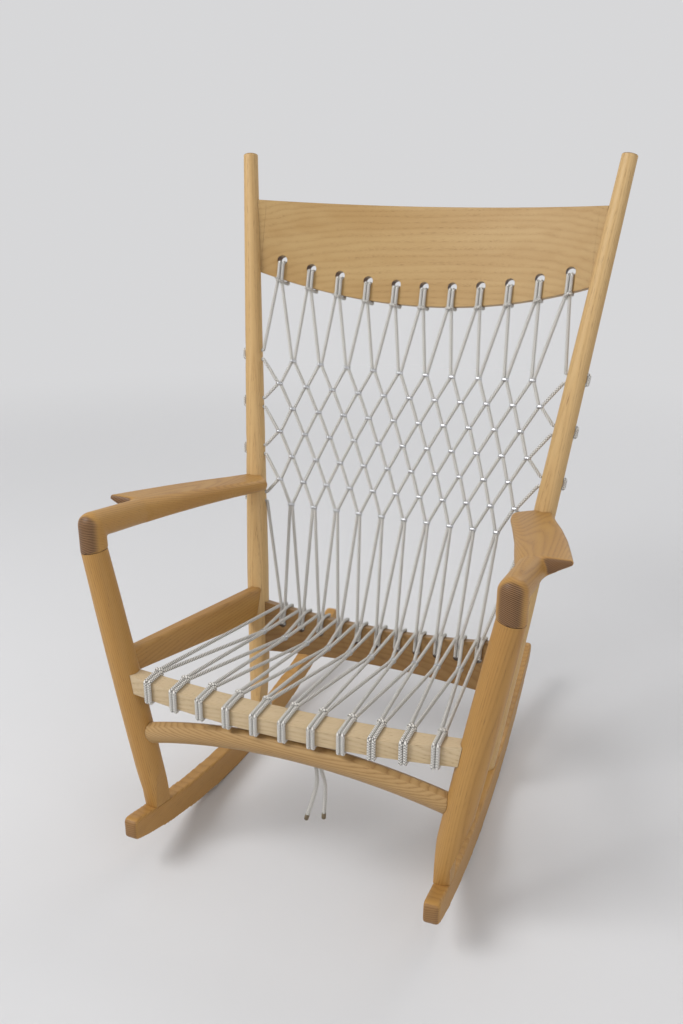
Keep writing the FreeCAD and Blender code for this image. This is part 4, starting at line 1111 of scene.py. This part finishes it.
class FacetedCords:
    """Reads the centre lines of the six-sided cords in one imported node."""

    SIDES = 6
    FINENESS = 5  # decimals to which two corners' places agree
    ASKEW = 0.9  # two directions whose product is below this aren't in line

    def __init__(self, name: str) -> None:
        """Args:
            name: The node's name.
        """
        self.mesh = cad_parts[name].data
        self.faces = self.flat_faces()
        self.caps = [face for face in self.faces if len(face) == self.SIDES]
        self.walls: dict[tuple, list[frozenset]] = defaultdict(list)
        for face in self.faces:
            if len(face) == 4:
                for corner in face:
                    self.walls[corner].append(face)

    def key(self, number: int) -> tuple:
        """Args:
            number: A vertex.

        Returns:
            Its place, rounded so that doubled corners agree.
        """
        return tuple(round(part, self.FINENESS) for part in self.mesh.vertices[number].co)

    def flat_faces(self) -> list[frozenset]:
        """Returns:
            The corners of each flat face, which the mesh keeps apart from its neighbours.
        """
        triangles = (tuple(triangle.vertices) for triangle in self.mesh.polygons)
        return [frozenset(self.key(number) for number in numbers)
                for numbers in clusters(triangles)]

    def ring_of(self, cap: frozenset) -> list[tuple]:
        """Args:
            cap: The corners of a cord's flat end.

        Returns:
            Them in order round the cord.
        """
        corners = [Vector(corner) for corner in cap]
        middle = sum(corners, Vector()) / len(corners)
        first = (corners[0] - middle).normalized()
        second = next(corner - middle for corner in corners
                      if abs((corner - middle).normalized().dot(first)) < self.ASKEW)
        normal = first.cross(second).normalized()
        other = normal.cross(first)
        return sorted(cap, key=lambda corner: math.atan2((Vector(corner) - middle).dot(other),
                                                         (Vector(corner) - middle).dot(first)))

    def walk(self, cap: frozenset) -> tuple[list[Vector], list[tuple]]:
        """Follow a cord from one end to its other.

        Args:
            cap: The end that it starts from.

        Returns:
            The route's points, and the corners of its last ring.
        """
        ring = self.ring_of(cap)
        route, used = [self.centre(ring)], set()
        while True:
            panels = []
            for number, corner in enumerate(ring):
                after = ring[(number + 1) % self.SIDES]
                panels += [w for w in self.walls[corner] if after in w and w not in used]
            if len(panels) != self.SIDES:
                return route, ring
            used.update(panels)
            ring = [next(iter((panels[number - 1] & panels[number]) - {corner}))
                    for number, corner in enumerate(ring)]
            route.append(self.centre(ring))

    @staticmethod
    def centre(ring: Iterable[tuple]) -> Vector:
        """Args:
            ring: The corners of one ring.

        Returns:
            Their middle.
        """
        corners = [Vector(corner) for corner in ring]
        return sum(corners, Vector()) / len(corners)

    def routes(self) -> list[list[Vector]]:
        """Returns:
            The route of each cord of the node.
        """
        found, seen = [], set()
        for cap in self.caps:
            if cap in seen:
                continue
            route, last = self.walk(cap)
            seen.update((cap, frozenset(last)))
            found.append(route)
        return found


def spline_points(places: Sequence[Vector], steps: int = 6) -> list[Vector]:
    """Points along a smooth spline.

    Args:
        places: The spline's control points.
        steps: Points for each of its spans.

    Returns:
        The points, from the spline's start to its end.
    """
    curve = bpy.data.curves.new("route", "CURVE")
    curve.dimensions = "3D"
    curve.resolution_u = steps
    spline = curve.splines.new("NURBS")
    spline.points.add(len(places) - 1)
    for point, place in zip(spline.points, places):
        point.co = (*place, 1.0)
    spline.order_u = 3
    spline.use_endpoint_u = True
    holder = bpy.data.objects.new("route", curve)
    mesh = bpy.data.meshes.new_from_object(holder)
    points = [vertex.co.copy() for vertex in mesh.vertices]
    bpy.data.objects.remove(holder)
    bpy.data.meshes.remove(mesh)
    bpy.data.curves.remove(curve)
    return points


def taut(route: Sequence[Vector], near: float = 0.0055) -> list[Vector]:
    """Control points that keep a taut cord straight between the places where it bends.

    Args:
        route: The places where the cord bends, and its ends.
        near: How near to a bend the straight stretch ends, in metres.

    Returns:
        The route with a point at each end of its long runs.
    """
    places = [route[0]]
    for start, end in zip(route, route[1:]):
        run = end - start
        if run.length > near * 3:
            step = run.normalized() * near
            places += [start + step, end - step]
        places.append(end)
    return places


SAME = 1e-6  # metres within which two points of a line count as one
RAIL_TOP = (0.060, 0.245)  # what lies behind and above this lies on top of the rear rail
TURN_WIDTHS = (0.019, 0.023)  # how wide the turn of a hitch is, in metres
TURN_SLACK = 0.001  # how far its two legs may stray sideways, in metres


def gathered(route: Sequence[Vector], share: float = 0.46) -> list[Vector]:
    """Draw a seat cord nearer to its hole where it lies on top of the rear rail.

    Args:
        route: The places where the cord bends.
        share: The share of its way out from the hole that it keeps.

    Returns:
        The route with its two places on the rail drawn in.
    """
    hole = max(route[0], route[-1], key=lambda place: place.y)
    places = [place.copy() for place in route]
    for place in places:
        if place.y > RAIL_TOP[0] and place.z > RAIL_TOP[1]:
            place.x = hole.x + (place.x - hole.x) * share
    return places


def squeezed(route: Sequence[Vector], middles: Sequence[Vector], near: float = 0.0060,
             share: float = 0.62) -> list[Vector]:
    """Draw a cord in where a band presses it against its neighbour.

    Args:
        route: The places where the cord bends.
        middles: The middles of the bands.
        near: How near to a middle the cord lies in that band, in metres.
        share: The share of its distance from the middle that it keeps.

    Returns:
        The route with its places in the bands drawn in.
    """
    places = []
    for place in route:
        middle = min(middles, key=lambda spot: (spot - place).length)
        held = (place - middle).length < near
        places.append(middle + (place - middle) * share if held else place)
    return places


def snug(route: Sequence[Vector], pull: float = 0.42, press: float = 0.0) -> list[Vector]:
    """Draw the turn of a hitch close to the two cords that it holds.

    Args:
        route: The places where the cord bends.
        pull: The share of its width that the turn keeps.
        press: How far the turn is pressed down, in metres.

    Returns:
        The route with its turn drawn in.
    """
    places = [place.copy() for place in route]
    for first in range(len(places) - 3):
        turn = places[first:first + 4]
        width = turn[2].x - turn[1].x
        level = abs(turn[0].x - turn[1].x) + abs(turn[2].x - turn[3].x)
        if TURN_WIDTHS[0] < abs(width) < TURN_WIDTHS[1] and level < TURN_SLACK:
            middle = (turn[1].x + turn[2].x) / 2
            for place in turn:
                place.x = middle + (place.x - middle) * pull
            for place in turn[1:3]:
                place.z -= press
            break
    return places


def round_tubes(name: str, lines: Sequence[Sequence[Vector]], radius: float,
                sides: int = 10) -> bpy.types.Object:
    """Round tubes along several lines, with a UV map that follows each one's length.

    Args:
        name: The object's name.
        lines: The centre lines.
        radius: The tubes' radius, in metres.
        sides: Corners round each tube.

    Returns:
        The object, linked to the scene.
    """
    corners, faces, laid = [], [], []
    for line in lines:
        points = [line[0]] + [here for before, here in zip(line, line[1:])
                              if (here - before).length > SAME]
        heading = (points[1] - points[0]).normalized()
        normal = heading.orthogonal().normalized()
        length, first = 0.0, len(corners)
        for number, point in enumerate(points):
            before, after = points[max(number - 1, 0)], points[min(number + 1, len(points) - 1)]
            heading = (after - before).normalized()
            normal = (normal - heading * normal.dot(heading)).normalized()
            other = heading.cross(normal)
            for corner in range(sides):
                angle = 2 * math.pi * corner / sides
                outward = normal * math.cos(angle) + other * math.sin(angle)
                corners.append(point + outward * radius)
            if number + 1 < len(points):
                onward = length + (points[number + 1] - point).length
                row = first + number * sides
                next_row = row + sides
                for corner in range(sides):
                    beside = (corner + 1) % sides
                    faces.append((row + corner, row + beside, next_row + beside, next_row + corner))
                    laid += [(corner / sides, length), ((corner + 1) / sides, length),
                             ((corner + 1) / sides, onward), (corner / sides, onward)]
                length = onward
        for row, order in ((first, -1), (first + (len(points) - 1) * sides, 1)):
            faces.append(tuple(range(row, row + sides))[::order])
            laid += [(0.0, 0.0)] * sides
    made = skin(name, corners, faces)
    for loop, place in zip(made.data.uv_layers.new(name=LAY).data, laid):
        loop.uv = place
    for face in made.data.polygons:
        face.use_smooth = len(face.vertices) != sides
    return made


@dataclass
class CordNet:
    """The cords of the back and the seat, and the turns that lock them behind the front rail.

    Attributes:
        radius: The cord's radius, in metres.
        press: How far the turns behind the front rail press on the cords under them, in metres.
    """

    radius: float = 0.0030
    press: float = 0.0032

    def build(self, braid: bpy.types.Material) -> list[bpy.types.Object]:
        """Args:
            braid: The cord's material.

        Returns:
            The round cords.
        """
        made = []
        middles = [place[0] for node in BAND_NODES for place in Bands.places(node)]
        for node in ("back_cords", "seat_cords", "rail_hitches"):
            routes = [squeezed(route, middles) for route in FacetedCords(node).routes()]
            if node == "seat_cords":
                routes = [gathered(route) for route in routes]
            press = self.press if node == "rail_hitches" else 0.0
            lines = [spline_points(taut(snug(route, press=press)), 4) for route in routes]
            piece = round_tubes(f"braided_{node}", lines, self.radius)
            made.append(stand_in(piece, node, braid))
            LOG.info("%s: %d cords", piece.name, len(routes))
        return made


@dataclass
class FreeTail:
    """One free end of the cord under the front rail, with its bound tip.

    Attributes:
        side: Which of the two tails it is.
        route: The points that it follows, from where it leaves the rail.
        length: Its real length, in metres.
        radius: Its radius, in metres.
        wall: Thickness of the thread round its tip, in metres.
        bound: Length of its tip that is bound, in metres.
    """

    side: Side
    route: tuple[Place, ...]
    length: float
    radius: float = 0.0030
    wall: float = 0.0004
    bound: float = 0.0100

    def build(self, braid: bpy.types.Material,
              thread: bpy.types.Material) -> list[bpy.types.Object]:
        """Args:
            braid: The cord's material.
            thread: The material of the thread round its tip.

        Returns:
            The tail and its whipping.
        """
        line = spline_points([Vector(place) for place in self.route], 8)
        word = self.side.word
        tail = stand_in(round_tubes(f"braided_tail_{word}", [line], self.radius),
                        f"cord_tail_{word}", braid)
        tip = stand_in(round_tubes(f"whipping_{word}", [self.last_stretch(line)],
                                   self.radius + self.wall),
                       "tail_whippings", thread)
        self.route[0]
        LOG.info("%s: %.3f m", tail.name, self.length)
        return [tail, tip]

    def last_stretch(self, line: Sequence[Vector]) -> list[Vector]:
        """Args:
            line: The tail's centre line.

        Returns:
            The part of it that the whipping covers.
        """
        points, left = [line[-1]], self.bound
        for after, before in zip(line[::-1], line[-2::-1]):
            run = (before - after).length
            if run >= left:
                points.append(after + (before - after) * (left / run))
                break
            points.append(before)
            left -= run
        return points[::-1]


TAIL_LEFT = (
    (0.0352, -0.3110, 0.2774), (0.0336, -0.3080, 0.2500), (0.0332, -0.3040, 0.2150),
    (0.0358, -0.3030, 0.1840), (0.0285, -0.3045, 0.1530), (0.0165, -0.3040, 0.1120))
TAIL_RIGHT = (
    (0.0552, -0.3110, 0.2774), (0.0480, -0.3075, 0.2530), (0.0415, -0.3040, 0.2290),
    (0.0405, -0.3025, 0.2060), (0.0480, -0.3030, 0.1860), (0.0480, -0.3040, 0.1560),
    (0.0452, -0.3035, 0.1215))


# Studio


@dataclass
class Studio:
    """The paper floor that curves up all round, the lamps and the world.

    Attributes:
        flat: Radius of the flat floor, in metres.
        curve: Radius of its curve up to the wall, in metres.
        wall: Height of the wall above that curve, in metres.
        steps: Flats up the curve.
        around: Flats round the floor.
        world_strength: Strength of the even light from all sides.
        middle: What the lamps look at.
    """

    flat: float = 4.5
    curve: float = 2.0
    wall: float = 3.0
    steps: int = 24
    around: int = 96
    world_strength: float = 0.50
    middle: Place = (0.0, 0.0, 0.45)

    def build(self) -> None:
        """Make the paper, the lamps and the world."""
        self.paper()
        self.lamp("key", (-2.3, -2.4, 3.3), 2.0, 120.0)
        self.lamp("fill", (3.2, -2.4, 2.0), 2.8, 34.0)
        self.lamp("back", (0.6, 3.2, 3.2), 2.4, 40.0)
        world = bpy.data.worlds.new("studio")
        bpy.context.scene.world = world
        world.use_nodes = True
        backing = world.node_tree.nodes["Background"]
        backing.inputs["Color"].default_value = (1.0, 1.0, 1.0, 1.0)
        backing.inputs["Strength"].default_value = self.world_strength

    def paper(self) -> bpy.types.Object:
        """Returns:
            The floor and its curved wall.
        """
        profile = [(0.0, 0.0), (self.flat, 0.0)]
        for step in range(1, self.steps + 1):
            angle = math.pi / 2 * step / self.steps
            profile.append((self.flat + self.curve * math.sin(angle),
                            self.curve * (1 - math.cos(angle))))
        profile.append((self.flat + self.curve, self.curve + self.wall))
        corners = [Vector((0.0, 0.0, 0.0))]
        faces = []
        for reach, height in profile[1:]:
            for number in range(self.around):
                angle = 2 * math.pi * number / self.around
                corners.append(Vector((reach * math.cos(angle), reach * math.sin(angle), height)))
        for number in range(self.around):
            after = (number + 1) % self.around
            faces.append((0, 1 + number, 1 + after))
            for ring in range(len(profile) - 2):
                low, high = 1 + ring * self.around, 1 + (ring + 1) * self.around
                faces.append((low + number, high + number, high + after, low + after))
        paper = skin("paper", corners, faces)
        paper.data.materials.append(FloorFinish().build())
        return paper

    def lamp(self, name: str, place: Place, width: float, power: float) -> bpy.types.Object:
        """A square soft lamp that looks at the chair.

        Args:
            name: The lamp's name.
            place: Where it hangs.
            width: Its width, in metres.
            power: Its power, in watts.

        Returns:
            The lamp.
        """
        light = bpy.data.lights.new(name, "AREA")
        light.shape = "SQUARE"
        light.size = width
        light.energy = power
        lamp = linked(name, light)
        lamp.location = place
        towards = Vector(self.middle) - Vector(place)
        lamp.rotation_mode = "QUATERNION"
        lamp.rotation_quaternion = towards.to_track_quat("-Z", "Y")
        return lamp


@dataclass
class Viewpoint:
    """The camera at the photograph's viewpoint.

    Attributes:
        place: Where it stands.
        yaw: Its turn to the left, in radians.
        pitch: How far it looks down, in radians.
        roll: Its roll, in radians.
        focal: Its focal length as a share of the picture's height.
        sensor: Height of its sensor, in millimetres.
    """

    place: Place = (0.501515, -1.403735, 1.049262)
    yaw: float = -0.3718767
    pitch: float = 0.3491394
    roll: float = 0.0039755
    focal: float = 946.40 / 1024
    sensor: float = 36.0

    def build(self) -> bpy.types.Object:
        """Returns:
            The camera.
        """
        ahead = Vector((math.sin(self.yaw) * math.cos(self.pitch),
                        math.cos(self.yaw) * math.cos(self.pitch), -math.sin(self.pitch)))
        right = Vector((math.cos(self.yaw), -math.sin(self.yaw), 0.0))
        upward = right.cross(ahead)
        level = right * math.cos(self.roll) + upward * math.sin(self.roll)
        upright = upward * math.cos(self.roll) - right * math.sin(self.roll)
        data = bpy.data.cameras.new("viewpoint")
        data.sensor_fit = "AUTO"
        data.sensor_width = self.sensor
        data.sensor_height = self.sensor
        data.lens = self.focal * self.sensor
        data.clip_start, data.clip_end = 0.05, 60.0
        camera = linked("viewpoint", data)
        turn = Matrix((level, upright, -ahead)).transposed().to_4x4()
        camera.matrix_world = Matrix.Translation(Vector(self.place)) @ turn
        bpy.context.scene.camera = camera
        return camera


def main() -> None:
    """Dress the chair, draw its cords and set it in the studio."""
    logging.basicConfig(level=logging.INFO, format="%(message)s")
    Viewpoint().build()
    Studio().build()
    braid, thread = BraidFinish().build(), ThreadFinish().build()
    pieces = CordNet().build(braid)
    pieces += FreeTail(Side.LEFT, TAIL_LEFT, 0.166).build(braid, thread)
    pieces += FreeTail(Side.RIGHT, TAIL_RIGHT, 0.156).build(braid, thread)
    for part in (POSTS, LEGS, Runners(), Arms(), Boards(), Bands()):
        pieces += part.dress()
    LOG.info("%d pieces", len(pieces))
    bpy.context.scene.view_settings.view_transform = "Standard"


if __name__ == "__main__":
    main()
